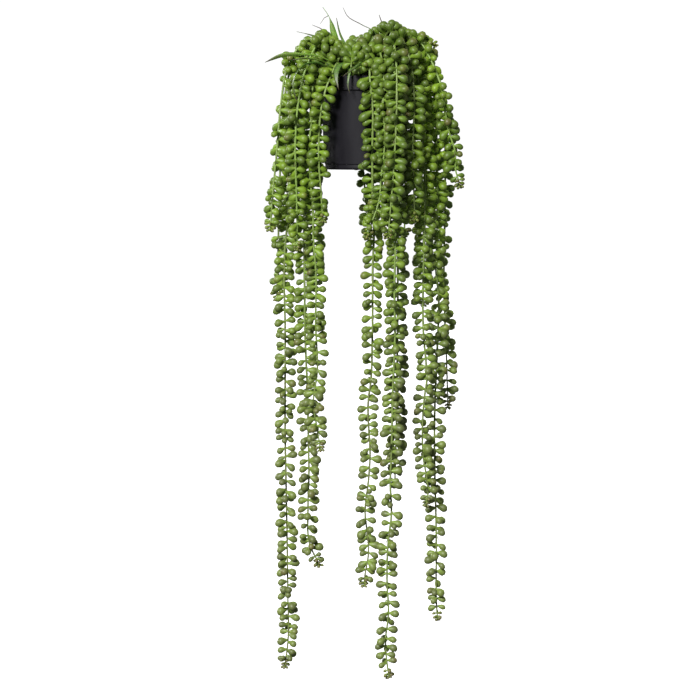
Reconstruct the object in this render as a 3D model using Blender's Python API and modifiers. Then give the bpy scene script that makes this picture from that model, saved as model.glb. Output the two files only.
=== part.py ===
"""String of pearls in a round black nursery pot that hangs by a ring under its rim.

Long stems rise from the soil, arch over the rim on all sides and hang free below the pot.
Each stem bears pear-shaped leaves, the pearls, in whorls, and ends in a tuft of small ones.
Short sprigs fill the crown, and narrow grass blades stand between them.

Lengths in the named values are millimetres. +Z is up, -Y is the front, and the origin is the
centre of the flat underside of the rim, where the pot sits in its ring.
"""

import itertools
import math
import random

import bmesh
import bpy
import numpy as np
from mathutils import Matrix, Vector

MM = 0.001
SEED = 29
MERGE = 1e-6

# Pot: a tapered wall under a wider collar
RIM_RADIUS = 47.0
RIM_TOP = 14.0
SEAT_RADIUS = 44.5
BASE_RADIUS = 40.0
BASE_Z = -79.0
WALL = 1.6
FLOOR = 2.0
LIP = 0.5
CORNER = 2.0
FOOT_HEIGHT = 5.5
FOOT_STEP = 0.6
POT_SIDES = 36

# Soil: fills the pot to just below the rim, with a low dome
SOIL_EDGE_Z = 3.0
SOIL_DOME = 5.0
SOIL_SIDES = 18
DOME_BREAK = 0.6
GAP = 0.3
ROOT_DEPTH = 9.0
HOLE_RADIUS = 1.65
HOLE_SIDES = 4

# Stems: square wires, thinner towards the tip
STEM_RADIUS = 0.85
TIP_RADIUS = 0.6
STEM_RISE = 3.0
PATH_STEP = 1.0
CROWN_PITCH = 17.0
CURTAIN_PITCH = 35.0
HANGING_PITCH = 31.0
CROWN_FLOOR = -8.0
CURTAIN_FLOOR = -140.0
WHORL_HEIGHT = 1.2
WHORL_REACH = 0.95
SIDE_FACING = 0.7
LAST_PITCH = 1.5
SPRIG_BARE = 23.0
HANGING_BARE = 38.0
TWIST = math.radians(24)

# Leaves: four-sided pears, whose corners stand out a little to keep the breadth of a round one
LEAF_LENGTH = 10.2
LEAF_RADIUS = 3.45
BELLY_AT = 0.64
TIP_SCALE = 0.42
TIP_STRETCH = 55.0
LEAF_VARIATION = 0.12
DROOP = (math.radians(2), math.radians(24))
SWING = math.radians(14)
TUFT_LEAN = math.radians(22)
SPRIG_LEAVES = 3
HANGING_LEAVES = 2
TUFT_LEAVES = 2

# Clear space that each piece keeps to its neighbours
CLEARANCE = 0.35
CELL = 7.6
LEAF_BALLS = ((0.20, 0.50), (0.42, 0.78), (0.64, 1.0), (0.81, 0.58), (0.95, 0.25))

# Grass blades
BLADE_THICKNESS = 0.7
BLADE_STATIONS = 5
BLADE_TIP_WIDTH = 0.7
BLADE_ROOT_WIDTH = 1.2
BLADE_LEAN = 1.45
BLADE_FULLNESS = 1.3

# Routes: each leaves the soil at its first point (x, y), then passes through the others, tip last.
# A wide arch springs from nearer the middle than the low arch that it passes over.
HANGING_STEMS = {
    "stem_left_1": [
        (-24, -3), (-54, -5, 43), (-71, -7, 18), (-76, -8, -20), (-77, -8, -69), (-76, -8, -115),
        (-80, -8, -161), (-79.6, -8, -249), (-79.8, -8, -342), (-78.4, -8, -419), (-77.3, -8, -501),
        (-77.2, -8, -552), (-80, -8, -575),
    ],
    "stem_left_2": [
        (-27, -10), (-43, -14, 34), (-55, -17, 19), (-63, -18, -2), (-70, -18, -34), (-70, -18, -57),
        (-66, -17, -75), (-61, -15, -120), (-60.6, -14, -150), (-59.5, -14, -250), (-57.2, -14, -308),
        (-56.6, -14, -348), (-56, -14, -383), (-57, -14, -419), (-55.5, -14, -452), (-46, -14, -473),
    ],
    "stem_left_3": [
        (-26, -17), (-37, -24, 31), (-48, -30, 14), (-54, -31, -12), (-53.5, -31, -33), (-56, -31, -57),
        (-54.5, -30, -86), (-51.5, -29, -121), (-51.5, -29, -145), (-48.6, -29, -185),
        (-49.2, -29, -230), (-47.5, -29, -280), (-51.5, -29, -312), (-48, -29, -334), (-44.5, -29, -356),
    ],
    "stem_left_4": [
        (-18, -7), (-58, -16, 50), (-77, -22, 22), (-83, -24, -10), (-87, -26, -55), (-92, -26, -108),
        (-94, -26, -137),
    ],
    "stem_left_5": [
        (-24, 5), (-58, 10, 42), (-75, 12, 18), (-81, 13, -15), (-84, 13, -60), (-86, 13, -110),
        (-87, 13, -160), (-88.5, 13, -208),
    ],
    "stem_left_6": [
        (-17, -12), (-45, -28, 47), (-59, -35, 20), (-66, -38, -12), (-69, -39, -50), (-68, -38, -100),
        (-67, -37, -156),
    ],
    "stem_left_7": [
        (-13, -16), (-20, -25, 40), (-30.6, -37, 21), (-39, -44, 0), (-42, -45, -12), (-46, -44, -60),
        (-43, -44, -110), (-42, -44, -128),
    ],
    "stem_right_1": [
        (7, -14), (12, -28, 44), (17, -44, 27), (18.5, -54, 2), (17.5, -56, -13), (19.2, -56, -42),
        (18.5, -56, -64), (15.6, -57, -86), (14, -58, -107), (6, -60, -132), (2, -60, -143),
    ],
    "stem_right_2": [
        (2, -13), (2, -27, 43), (4, -43, 28), (5, -52, 6), (7, -53, -12), (7, -51, -64),
        (7.6, -47, -115), (8.7, -45, -139), (7.6, -44, -172), (7, -44, -250), (5.3, -44, -291),
        (3.5, -44, -304), (4.7, -44, -368), (3.5, -44, -385), (0, -44, -420), (2.4, -44, -441),
        (3.5, -44, -456), (-0.5, -44, -484), (-1, -44, -490),
    ],
    "stem_right_3": [
        (15, -20), (22, -31, 40), (27, -47, 27), (30, -60, 0), (30, -62, -25), (29, -62, -70),
        (29.4, -62, -115), (29.9, -62, -145), (28.8, -62, -195), (29.4, -61, -240), (27, -60, -303),
        (25.9, -60, -360), (24.8, -60, -388), (25.9, -60, -420), (23, -60, -444), (21.6, -60, -484),
        (23, -60, -518), (20.2, -60, -545), (21.3, -60, -564), (23.5, -60, -579),
    ],
    "stem_right_4": [
        (24, -24), (32, -33, 36), (37, -41, 20), (38, -45, 2), (36, -45, -30), (34, -43, -70),
        (33, -42, -115), (32, -42, -250), (31, -42, -330), (29.5, -42, -391),
    ],
    "stem_right_5": [
        (27, -14), (41, -18, 42), (47, -22.5, 30), (52, -27, 12), (55.2, -30, -12), (56.6, -30, -42),
        (58.8, -30, -70), (59.6, -30, -107), (58.6, -30, -150), (58.6, -30, -250), (60.4, -30, -269),
        (61.5, -30, -286), (59.2, -30, -303), (56.9, -30, -343), (58, -30, -366), (60.9, -30, -383),
        (62.7, -30, -400), (60.8, -30, -411),
    ],
    "stem_right_6": [
        (28, -1), (50, -6, 43), (62, -11, 26), (69.5, -14, -2), (71, -14, -60), (71.8, -14, -150),
        (70.7, -14, -179), (73, -14, -202), (71.8, -14, -262), (69.5, -14, -320), (69.5, -14, -372),
        (70.7, -14, -420), (71.3, -14, -456), (71.3, -14, -507), (72.3, -14, -527),
    ],
    "stem_right_7": [
        (26, 5), (56, 6, 44), (70, 6, 22), (78, 6, -5), (80, 6, -50), (80, 6, -110), (79, 6, -200),
        (82, 6, -280), (83, 6, -316),
    ],
    "stem_right_8": [
        (20, -6), (50, -16, 53), (63, -22, 34), (71, -27, 16), (76, -30, 2), (80, -30, -26),
        (83, -30, -41), (89.5, -30, -63), (89.5, -30, -78), (94, -30, -94),
    ],
    "stem_right_9": [
        (15, -12), (36, -33, 50), (45, -44, 26), (48, -50, -2), (47, -50, -60), (48, -50, -100),
        (49, -50, -126),
    ],
    "stem_right_10": [
        (8, -8), (25, -38, 58), (30, -62, 32), (31, -75, -3), (30, -77, -40), (27, -77, -90),
        (22.5, -77, -143),
    ],
    "stem_right_11": [
        (22, 11), (46, 18, 45), (59, 20, 22), (66, 20, -7), (66, 20, -60), (66, 20, -110), (66, 20, -145),
    ],
    "stem_back_1": [
        (-22, 13), (-47, 26, 42), (-62, 30, 20), (-69, 32, -10), (-71, 32, -70), (-70, 32, -125),
    ],
    "stem_back_2": [
        (-16, 20), (-33, 34, 45), (-46, 44, 23), (-52, 48, -5), (-53, 48, -70), (-52, 48, -150),
        (-51, 48, -200),
    ],
    "stem_back_3": [
        (-2, 21), (-3, 37, 48), (-4, 54, 27), (-5, 62, 2), (-3, 63, -60), (3, 62, -130), (5, 62, -150),
    ],
    "stem_back_4": [(7, 20), (12, 36, 50), (16, 51, 28), (18, 60, 0), (18, 61, -60), (17, 60, -140)],
    "stem_back_5": [(15, 17), (27, 31, 50), (36, 42, 26), (41, 49, -2), (41, 50, -60), (40, 48, -145)],
    "stem_back_6": [
        (23, 17), (42, 30, 47), (54, 37, 24), (59, 42, -4), (60, 42, -60), (59, 42, -150), (59, 42, -215),
    ],
}
SPRIGS = {
    "sprig_1": [(-16, -1), (-26, -2, 36), (-36, -4, 54), (-45, -5, 56)],
    "sprig_2": [(-6, 5), (-9, 7, 36), (-16, 9, 48)],
    "sprig_3": [(2, -5), (2, -7, 40), (5, -9, 56)],
    "sprig_4": [(6, 5), (13, 5, 46), (20, 5, 60), (27, 5, 59)],
    "sprig_5": [(12, -4), (23, -5, 46), (33, -6, 61), (42, -6, 59)],
    "sprig_6": [(19, 2), (45, 0, 52), (58, 0, 55), (69, 1, 45)],
    "sprig_7": [(-18, 4), (-40, 3, 46), (-56, 3, 50), (-68, 2, 40)],
    "sprig_8": [(-8, -20), (-12, -34, 35), (-13, -47, 32), (-14, -57, 22)],
    "sprig_9": [(-2, -20), (-4, -36, 35), (-5, -48, 29), (-7, -57, 16)],
    "sprig_10": [(-8, 14), (-12, 26, 38), (-14, 40, 44), (-16, 50, 36)],
}

# Grass blades: the width, the direction across the blade, then its route
GRASS_BLADES = {
    "grass_blade_1": (
        6.0, (1, 0, 0), [(-10, -5), (-21, -15, 34), (-31, -19, 56), (-36, -19, 73), (-42, -20, 82)],
    ),
    "grass_blade_2": (
        2.5, (1, 0, 0), [(-8, -11), (-15, -13, 36), (-25, -13, 56), (-28.5, -14, 71.5)],
    ),
    "grass_blade_3": (
        1.8, (0, 1, 1), [(-12, 7), (-28, 10, 40), (-42, 8, 60), (-53, 5, 65)],
    ),
    "grass_blade_4": (
        4.0, (0.5, 0.5, 0.7), [(-14, -5.5), (-34, -10, 46), (-52, -9, 54), (-68, -11, 58)],
    ),
    "grass_blade_5": (
        5.0, (0, -0.6, 0.8), [(-21, -22), (-42, -40, 32), (-60, -46, 35), (-82, -47, 34), (-99, -47, 27)],
    ),
    "grass_blade_6": (
        4.0, (0, -0.9, 0.4), [(-27, -27), (-36, -39, 25), (-50, -53, 30), (-60, -58, 31), (-73, -61, 29)],
    ),
    "grass_blade_7": (
        2.2, (0.3, 1, 0), [(7, -1), (11, -1, 38), (10, -1, 57), (-3.6, -2, 65), (-18, -4, 74), (-22, -4, 82)],
    ),
    "grass_blade_8": (
        2.0, (1, 0, 0), [(14, 1), (18, 0, 40), (18, 0, 62), (14, 0, 75)],
    ),
    "grass_blade_9": (
        6.5, (1, -0.2, 0.1), [(-15, -29), (-22, -42, 27), (-28, -51, 20), (-28, -56, 8), (-26, -57, 0)],
    ),
    "grass_blade_10": (
        3.0, (1, -0.3, 0), [(-5, -29), (-13, -45, 25), (-16, -53, 14), (-17, -55, 3), (-15, -55, -4)],
    ),
    "grass_blade_11": (
        3.5, (0, 0.3, 1), [(4, -27), (-2, -45, 25), (-7, -60, 24), (-15, -67, 18), (-22, -70, 13)],
    ),
    "grass_blade_12": (
        4.0, (0.5, -0.6, 0.6), [(-30, -21), (-50, -42, 27), (-64, -50, 22), (-71, -52, 8), (-67, -52, -13)],
    ),
}

# Finishes: colour and roughness
LEAF_GREEN = ((0.150, 0.270, 0.040, 1.0), 0.42)
GRASS_GREEN = ((0.060, 0.160, 0.030, 1.0), 0.5)
POT_BLACK = ((0.018, 0.017, 0.022, 1.0), 0.45)
SOIL_BROWN = ((0.045, 0.028, 0.018, 1.0), 0.95)


def remove_startup_objects():
    for item in list(bpy.data.objects):
        bpy.data.objects.remove(item, do_unlink=True)


def new_collection(name):
    collection = bpy.data.collections.new(name)
    bpy.context.scene.collection.children.link(collection)
    return collection


def material(name, colour, roughness):
    made = bpy.data.materials.new(name)
    made.use_nodes = True
    shader = made.node_tree.nodes["Principled BSDF"]
    shader.inputs["Base Color"].default_value = colour
    shader.inputs["Roughness"].default_value = roughness
    shader.inputs["Metallic"].default_value = 0.0
    return made


def add_object(name, data, collection, finish):
    """Links a new object with one material."""
    made = bpy.data.objects.new(name, data)
    data.materials.append(finish)
    collection.objects.link(made)
    return made


def turned(name, profile, sides, collection, finish):
    """A solid turned about Z from (radius, height) points that run down its outer side."""
    mesh = bpy.data.meshes.new(name)
    points = [(radius * MM, 0.0, height * MM) for radius, height in profile]
    mesh.from_pydata(points, [(i, i + 1) for i in range(len(points) - 1)], [])
    made = add_object(name, mesh, collection, finish)
    screw = made.modifiers.new("turn", "SCREW")
    screw.axis = "Z"
    screw.steps = sides
    screw.render_steps = sides
    screw.use_merge_vertices = True
    screw.merge_threshold = MERGE
    screw.use_smooth_shade = True
    return made


def wall_radius(height):
    """Outer radius of the tapered wall at a height."""
    share = height / BASE_Z
    return SEAT_RADIUS + (BASE_RADIUS - SEAT_RADIUS) * share


def pot(collection, finish):
    foot_top = BASE_Z + FOOT_HEIGHT
    foot_radius = wall_radius(foot_top) - FOOT_STEP
    inner_rim = RIM_RADIUS - WALL
    floor_z = BASE_Z + FLOOR
    inside = [
        (0.0, floor_z),
        (foot_radius - WALL - CORNER, floor_z),
        (foot_radius - WALL, floor_z + CORNER),
        (SEAT_RADIUS - WALL, -WALL),
        (inner_rim, WALL),
        (inner_rim, RIM_TOP - LIP),
    ]
    outside = [
        (inner_rim + LIP, RIM_TOP),
        (RIM_RADIUS - LIP, RIM_TOP),
        (RIM_RADIUS, RIM_TOP - LIP),
        (RIM_RADIUS, 0.0),
        (SEAT_RADIUS, 0.0),
        (wall_radius(foot_top), foot_top),
        (foot_radius, foot_top - FOOT_STEP),
        (foot_radius, BASE_Z + CORNER),
        (foot_radius - CORNER, BASE_Z),
        (0.0, BASE_Z),
    ]
    return turned("pot", inside + outside, POT_SIDES, collection, finish)


def soil_height(x, y):
    """Height of the soil's surface over a point of the pot."""
    share = math.hypot(x, y) / (RIM_RADIUS - WALL)
    return SOIL_EDGE_Z + SOIL_DOME * (1.0 - share * share)


def soil(roots, collection, cutters, finish):
    """Soil with a plain hole for each stem and blade, and a thin gap to the pot all round."""
    edge = RIM_RADIUS - WALL - GAP
    lower = SEAT_RADIUS - WALL - GAP
    foot = wall_radius(BASE_Z + FOOT_HEIGHT) - FOOT_STEP - WALL - GAP
    floor_z = BASE_Z + FLOOR + GAP
    rings = [0.0, edge * DOME_BREAK]
    profile = [(radius, soil_height(radius, 0.0)) for radius in rings]
    profile += [
        (edge, SOIL_EDGE_Z),
        (edge, WALL + GAP),
        (lower, GAP - WALL),
        (foot, floor_z + CORNER),
        (foot - CORNER, floor_z),
        (0.0, floor_z),
    ]
    made = turned("soil", profile, SOIL_SIDES, collection, finish)
    for x, y, _ in roots:
        top = soil_height(x, y)
        bpy.ops.mesh.primitive_cylinder_add(
            vertices=HOLE_SIDES,
            radius=HOLE_RADIUS * MM,
            depth=2.0 * (ROOT_DEPTH + GAP) * MM,
            location=(x * MM, y * MM, top * MM),
        )
        cutter = bpy.context.object
        cutter.hide_render = True
        cutter.display_type = "WIRE"
        for home in list(cutter.users_collection):
            home.objects.unlink(cutter)
        cutters.objects.link(cutter)
    holes = made.modifiers.new("holes", "BOOLEAN")
    holes.operation = "DIFFERENCE"
    holes.operand_type = "COLLECTION"
    holes.collection = cutters
    return made


def smooth_path(points):
    """Points about a millimetre apart on a smooth curve through the given ones, and their distances.

    Between two points the curve is a cubic whose slopes are the mean slopes at its ends.
    """
    knots = np.array(points, dtype=float)
    chords = np.linalg.norm(np.diff(knots, axis=0), axis=1)
    at = np.concatenate([[0.0], np.cumsum(chords)])
    slopes = np.gradient(knots, at, axis=0)
    where = np.linspace(0.0, at[-1], int(at[-1] / PATH_STEP) + 2)
    left = np.clip(np.searchsorted(at, where, side="right") - 1, 0, len(at) - 2)
    span = (at[left + 1] - at[left])[:, None]
    t = (where - at[left])[:, None] / span
    path = (
        (2 * t**3 - 3 * t**2 + 1) * knots[left]
        + (t**3 - 2 * t**2 + t) * span * slopes[left]
        + (3 * t**2 - 2 * t**3) * knots[left + 1]
        + (t**3 - t**2) * span * slopes[left + 1]
    )
    steps = np.linalg.norm(np.diff(path, axis=0), axis=1)
    return path, np.concatenate([[0.0], np.cumsum(steps)])


def rooted(route):
    """Gives a route the two points of its straight foot, which stands in its hole in the soil."""
    x, y = route[0]
    top = soil_height(x, y)
    return [(x, y, top - ROOT_DEPTH), (x, y, top + STEM_RISE)] + route[1:]


class Room:
    """The space that is already taken, as balls sorted into cubic cells."""

    def __init__(self):
        self.cells = {}

    def cell_of(self, place):
        return tuple(math.floor(value / CELL) for value in place)

    def take(self, place, radius, owner):
        self.cells.setdefault(self.cell_of(place), []).append((place, radius, owner))

    def is_free(self, place, radius, owner):
        i, j, k = self.cell_of(place)
        around = itertools.product((i - 1, i, i + 1), (j - 1, j, j + 1), (k - 1, k, k + 1))
        for cell in around:
            for other, other_radius, other_owner in self.cells.get(cell, ()):
                reach = radius + other_radius + CLEARANCE
                if other_owner != owner and (place - other).length < reach:
                    return False
        return not near_pot(place, radius + CLEARANCE)


def pitch_at(height):
    """Spacing of the whorls: close in the crown, wide where many stems hang side by side."""
    if height > CROWN_FLOOR:
        return CROWN_PITCH
    return CURTAIN_PITCH if height > CURTAIN_FLOOR else HANGING_PITCH


def near_pot(place, reach):
    """True where a ball would touch the pot or its soil."""
    radius = math.hypot(place.x, place.y)
    if place.z - reach > RIM_TOP or place.z + reach < BASE_Z:
        return False
    if radius - reach > RIM_RADIUS:
        return False
    over_soil = place.z - reach > SOIL_EDGE_Z + SOIL_DOME
    return not (over_soil and radius + reach < RIM_RADIUS - WALL)


class Growth:
    """A named piece that follows a smooth curve out of the soil."""

    def __init__(self, name, route):
        self.name = name
        self.path, self.along = smooth_path(rooted(route))

    def point(self, distance):
        return Vector([float(np.interp(distance, self.along, axis)) for axis in self.path.T])

    def tangent(self, distance):
        return (self.point(distance + PATH_STEP) - self.point(distance - PATH_STEP)).normalized()

    def runs(self):
        """Close places on the straight runs between the stations, each with its distance."""
        stations = self.stations()
        for start, end in zip(stations, stations[1:]):
            first, second = self.point(start), self.point(end)
            count = math.ceil((end - start) / PATH_STEP)
            for step in range(count + 1):
                share = step / count
                yield first.lerp(second, share), start + (end - start) * share


class Stem(Growth):
    """A stem's curve, cut into whorls of leaves."""

    def __init__(self, name, route, bare):
        super().__init__(name, route)
        self.whorls = self.place_whorls(bare)

    def place_whorls(self, bare):
        """Distances of the whorls, from the end of the bare foot of the stem to its tip."""
        last = self.along[-1] - WHORL_HEIGHT
        whorls = [bare]
        while True:
            pitch = pitch_at(self.point(whorls[-1]).z)
            if whorls[-1] + LAST_PITCH * pitch > last:
                break
            whorls.append(whorls[-1] + pitch)
        if last - whorls[-1] > CROWN_PITCH:
            whorls.append(0.5 * (whorls[-1] + last))
        whorls.append(last)
        return whorls

    def stations(self):
        """Distances of the curve's points: the root, one bend, then both edges of each whorl."""
        half = 0.5 * WHORL_HEIGHT
        risen = ROOT_DEPTH + STEM_RISE
        edges = [0.0, risen, 0.5 * (risen + self.whorls[0])]
        for whorl in self.whorls:
            edges += [whorl - half, whorl + half]
        return edges

    def claim(self, room):
        """Takes the room of the bare wire. Each ball belongs to the whorl that it is nearest to."""
        whorls = np.array(self.whorls)
        for place, distance in self.runs():
            nearest = int(np.abs(whorls - distance).argmin())
            room.take(place, STEM_RADIUS, (self.name, nearest))


def wire_mesh(stem, tilts):
    """The stem as a welded square wire, made from a curve with filled caps, each joined to one face."""
    curve = bpy.data.curves.new(stem.name, "CURVE")
    curve.dimensions = "3D"
    curve.bevel_depth = STEM_RADIUS * MM
    curve.bevel_resolution = 0
    curve.use_fill_caps = True
    edges = stem.stations()
    spline = curve.splines.new("POLY")
    spline.points.add(len(edges) - 1)
    for point, distance, tilt in zip(spline.points, edges, tilts):
        share = distance / edges[-1]
        point.co = (*(stem.point(distance) * MM), 1.0)
        point.tilt = tilt
        point.radius = 1.0 + (TIP_RADIUS / STEM_RADIUS - 1.0) * share
    guide = bpy.data.objects.new(stem.name, curve)
    bpy.context.scene.collection.objects.link(guide)
    graph = bpy.context.evaluated_depsgraph_get()
    mesh = bpy.data.meshes.new_from_object(guide.evaluated_get(graph))
    bpy.data.objects.remove(guide, do_unlink=True)
    bpy.data.curves.remove(curve)
    shape = bmesh.new()
    shape.from_mesh(mesh)
    bpy.data.meshes.remove(mesh)
    bmesh.ops.remove_doubles(shape, verts=shape.verts, dist=MERGE)
    halves = [face for face in shape.faces if len(face.verts) == 3]
    bmesh.ops.dissolve_faces(shape, faces=halves)
    return shape


def sides_of_whorl(shape, middle, tangent):
    """The four faces round a whorl, in their order about the stem, and the cap if it is the tip's."""
    reach = WHORL_REACH * WHORL_HEIGHT * MM
    close = [face for face in shape.faces if (face.calc_center_median() - middle * MM).length < reach]
    sides = [face for face in close if abs(face.normal.dot(tangent)) < SIDE_FACING]
    caps = [face for face in close if face not in sides]
    first = sides[0].normal
    across = tangent.cross(first)
    sides.sort(key=lambda face: math.atan2(face.normal.dot(across), face.normal.dot(first)))
    return sides, caps


def leaf_balls(root, axis, length, radius):
    """Balls that cover a leaf, for its room."""
    return [(root + axis * (length * share), radius * size) for share, size in LEAF_BALLS]


def grow_leaf(shape, face, axis, length, radius):
    """Pulls a leaf out of one side of the stem: a ring at its belly, then the point at its end."""
    root = face.calc_center_median()
    belly = bmesh.ops.extrude_discrete_faces(shape, faces=[face])["faces"][0]
    centre = root + axis * (length * BELLY_AT)
    for corner in belly.verts:
        out = corner.co - root
        out -= axis * out.dot(axis)
        corner.co = centre + out.normalized() * radius
    tip = bmesh.ops.poke(shape, faces=[belly])["verts"][0]
    tip.co = root + axis * length


def leaf_axis(face, tangent, at_tip, draw):
    """The way a leaf points: out from its side, swung a little, and drooping or along the tip."""
    out = Matrix.Rotation(draw.uniform(-SWING, SWING), 3, tangent) @ face.normal
    if at_tip:
        return (out * math.cos(TUFT_LEAN) + tangent * math.sin(TUFT_LEAN)).normalized()
    droop = draw.uniform(*DROOP)
    return (out * math.cos(droop) + Vector((0, 0, -1)) * math.sin(droop)).normalized()


def leafy_stem(stem, leaves, room, draw, collection, finish):
    """A stem with its leaves, so many to each whorl, as one closed solid."""
    tilts = [0.0, 0.0, 0.0]
    for _ in stem.whorls:
        tilts += [tilts[-1] + draw.uniform(-TWIST, TWIST)] * 2
    shape = wire_mesh(stem, tilts)
    last = len(stem.whorls) - 1
    for number, distance in enumerate(stem.whorls):
        middle = stem.point(distance)
        tangent = stem.tangent(distance)
        sides, caps = sides_of_whorl(shape, middle, tangent)
        order = caps + [sides[(number + step) % len(sides)] for step in (0, 2, 1, 3)]
        wanted = len(caps) + TUFT_LEAVES if number == last else leaves
        to_tip = stem.along[-1] - distance
        scale = min(1.0, TIP_SCALE + (1.0 - TIP_SCALE) * to_tip / TIP_STRETCH)
        for face in order:
            size = scale * (1.0 + draw.uniform(-LEAF_VARIATION, LEAF_VARIATION))
            axis = leaf_axis(face, tangent, number == last, draw)
            root = face.calc_center_median() / MM
            balls = leaf_balls(root, axis, LEAF_LENGTH * size, LEAF_RADIUS * size)
            owner = (stem.name, number)
            if wanted and all(room.is_free(place, radius, owner) for place, radius in balls):
                for place, radius in balls:
                    room.take(place, radius, owner)
                grow_leaf(shape, face, axis, LEAF_LENGTH * size * MM, LEAF_RADIUS * size * MM)
                wanted -= 1
    mesh = bpy.data.meshes.new(stem.name)
    bmesh.ops.recalc_face_normals(shape, faces=shape.faces)
    shape.to_mesh(mesh)
    shape.free()
    return add_object(stem.name, mesh, collection, finish)


class Blade(Growth):
    """A narrow leaf of grass: a ribbon along a smooth path, widest past its middle."""

    def __init__(self, name, width, across, route):
        super().__init__(name, route)
        self.width = width
        self.across = Vector(across)

    def stations(self):
        """Distances of the ribbon's cross edges: its root, the top of its straight foot, and on."""
        return [0.0, *np.linspace(ROOT_DEPTH + STEM_RISE, self.along[-1], BLADE_STATIONS)]

    def width_at(self, share):
        """Ribbon width: a thin stalk, a swelling to the full width at 0.62, and a fine tip."""
        swell = math.sin(math.pi * share ** BLADE_LEAN) ** BLADE_FULLNESS
        least = BLADE_ROOT_WIDTH + (BLADE_TIP_WIDTH - BLADE_ROOT_WIDTH) * share
        return least + (self.width - least) * swell

    def claim(self, room):
        for place, distance in self.runs():
            width = self.width_at(distance / self.along[-1])
            room.take(place, 0.5 * (width + BLADE_THICKNESS), (self.name, 0))

    def ribbon(self, collection, finish):
        """The ribbon keeps its across direction, square to its midrib, on a straight foot."""
        stations = self.stations()
        shape = bmesh.new()
        bmesh.ops.create_grid(shape, x_segments=1, y_segments=BLADE_STATIONS, size=1.0)
        for corner in shape.verts:
            distance = stations[round(0.5 * (corner.co.y + 1.0) * BLADE_STATIONS)]
            tangent = self.tangent(distance)
            side = (self.across - tangent * self.across.dot(tangent)).normalized()
            width = self.width_at(distance / self.along[-1])
            corner.co = (self.point(distance) + side * (0.5 * corner.co.x * width)) * MM
        mesh = bpy.data.meshes.new(self.name)
        shape.to_mesh(mesh)
        shape.free()
        made = add_object(self.name, mesh, collection, finish)
        thick = made.modifiers.new("thickness", "SOLIDIFY")
        thick.thickness = BLADE_THICKNESS * MM
        thick.offset = 0.0
        return made


def main():
    remove_startup_objects()
    parts = new_collection("potted_string_of_pearls")
    cutters = new_collection("cutters")
    leaf_finish = material("leaf green", *LEAF_GREEN)
    grass_finish = material("grass green", *GRASS_GREEN)
    pot_finish = material("pot black", *POT_BLACK)
    soil_finish = material("soil brown", *SOIL_BROWN)

    hanging = [Stem(name, route, HANGING_BARE) for name, route in HANGING_STEMS.items()]
    sprigs = [Stem(name, route, SPRIG_BARE) for name, route in SPRIGS.items()]
    blades = [Blade(name, *blade) for name, blade in GRASS_BLADES.items()]
    pieces = hanging + sprigs + blades
    roots = [piece.path[0] for piece in pieces]

    pot(parts, pot_finish)
    soil(roots, parts, cutters, soil_finish)
    room = Room()
    for piece in pieces:
        piece.claim(room)
    draw = random.Random(SEED)
    for stem in hanging:
        leafy_stem(stem, HANGING_LEAVES, room, draw, parts, leaf_finish)
    for stem in sprigs:
        leafy_stem(stem, SPRIG_LEAVES, room, draw, parts, leaf_finish)
    for blade in blades:
        blade.ribbon(parts, grass_finish)


main()
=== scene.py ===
# %% [markdown]
# # A string of pearls in a hanging nursery pot
#
# This plant is thirty-four leafy stems and a dozen blades of grass, yet it needs only three
# shapes: a pear for the leaf, a tube for the stem and a ribbon for the grass. The lesson builds
# each shape once, as a function of two parameters, and then repeats it along chosen routes.
#
# The packed model is loaded first. It fixes where the pot, the soil and every stem are, and
# nothing in this file moves it. Shapes are worked out in millimetres and become metres in a mesh.

# %% Load the frame
import math

import bpy
import numpy as np
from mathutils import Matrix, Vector


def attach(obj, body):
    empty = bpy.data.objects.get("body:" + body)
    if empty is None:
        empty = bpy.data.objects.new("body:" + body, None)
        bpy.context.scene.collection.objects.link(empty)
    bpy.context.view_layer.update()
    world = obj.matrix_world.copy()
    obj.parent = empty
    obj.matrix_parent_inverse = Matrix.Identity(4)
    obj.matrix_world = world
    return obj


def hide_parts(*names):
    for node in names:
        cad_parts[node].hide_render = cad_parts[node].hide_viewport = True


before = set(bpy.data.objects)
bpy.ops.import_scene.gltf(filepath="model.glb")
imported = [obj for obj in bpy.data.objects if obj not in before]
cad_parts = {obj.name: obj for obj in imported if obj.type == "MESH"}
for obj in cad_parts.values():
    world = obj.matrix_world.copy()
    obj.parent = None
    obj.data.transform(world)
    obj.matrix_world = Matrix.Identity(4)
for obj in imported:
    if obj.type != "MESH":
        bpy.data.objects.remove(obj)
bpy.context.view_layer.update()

MM = 0.001

# %% [markdown]
# ## Camera
#
# The picture was taken from far away with a long lens, a few degrees above the horizon: the
# pot's rim is nearly a straight line. A short lens close by would curve it and would show much
# more of the soil. So the camera stands 4.5 m off, and its lens is worked out from the breadth
# that the picture takes in at the plant.

# %% Camera
# In metres, but for the sensor, whose breadth is in millimetres.
AIM = Vector((-15.0, 0.0, -259.5)) * MM
CAMERA_DISTANCE = 4.5
CAMERA_ELEVATION = math.radians(3.0)
VIEW_BREADTH = 0.700
SENSOR = 36.0

lens_data = bpy.data.cameras.new("camera")
lens_data.sensor_width = SENSOR
lens_data.lens = SENSOR * CAMERA_DISTANCE / VIEW_BREADTH
camera = bpy.data.objects.new("camera", lens_data)
back = Vector((0.0, -math.cos(CAMERA_ELEVATION), math.sin(CAMERA_ELEVATION)))
camera.location = AIM + back * CAMERA_DISTANCE
camera.rotation_euler = (-back).to_track_quat("-Z", "Y").to_euler()
bpy.context.scene.collection.objects.link(camera)
bpy.context.scene.camera = camera
print("lens:", round(lens_data.lens), "mm")
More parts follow.
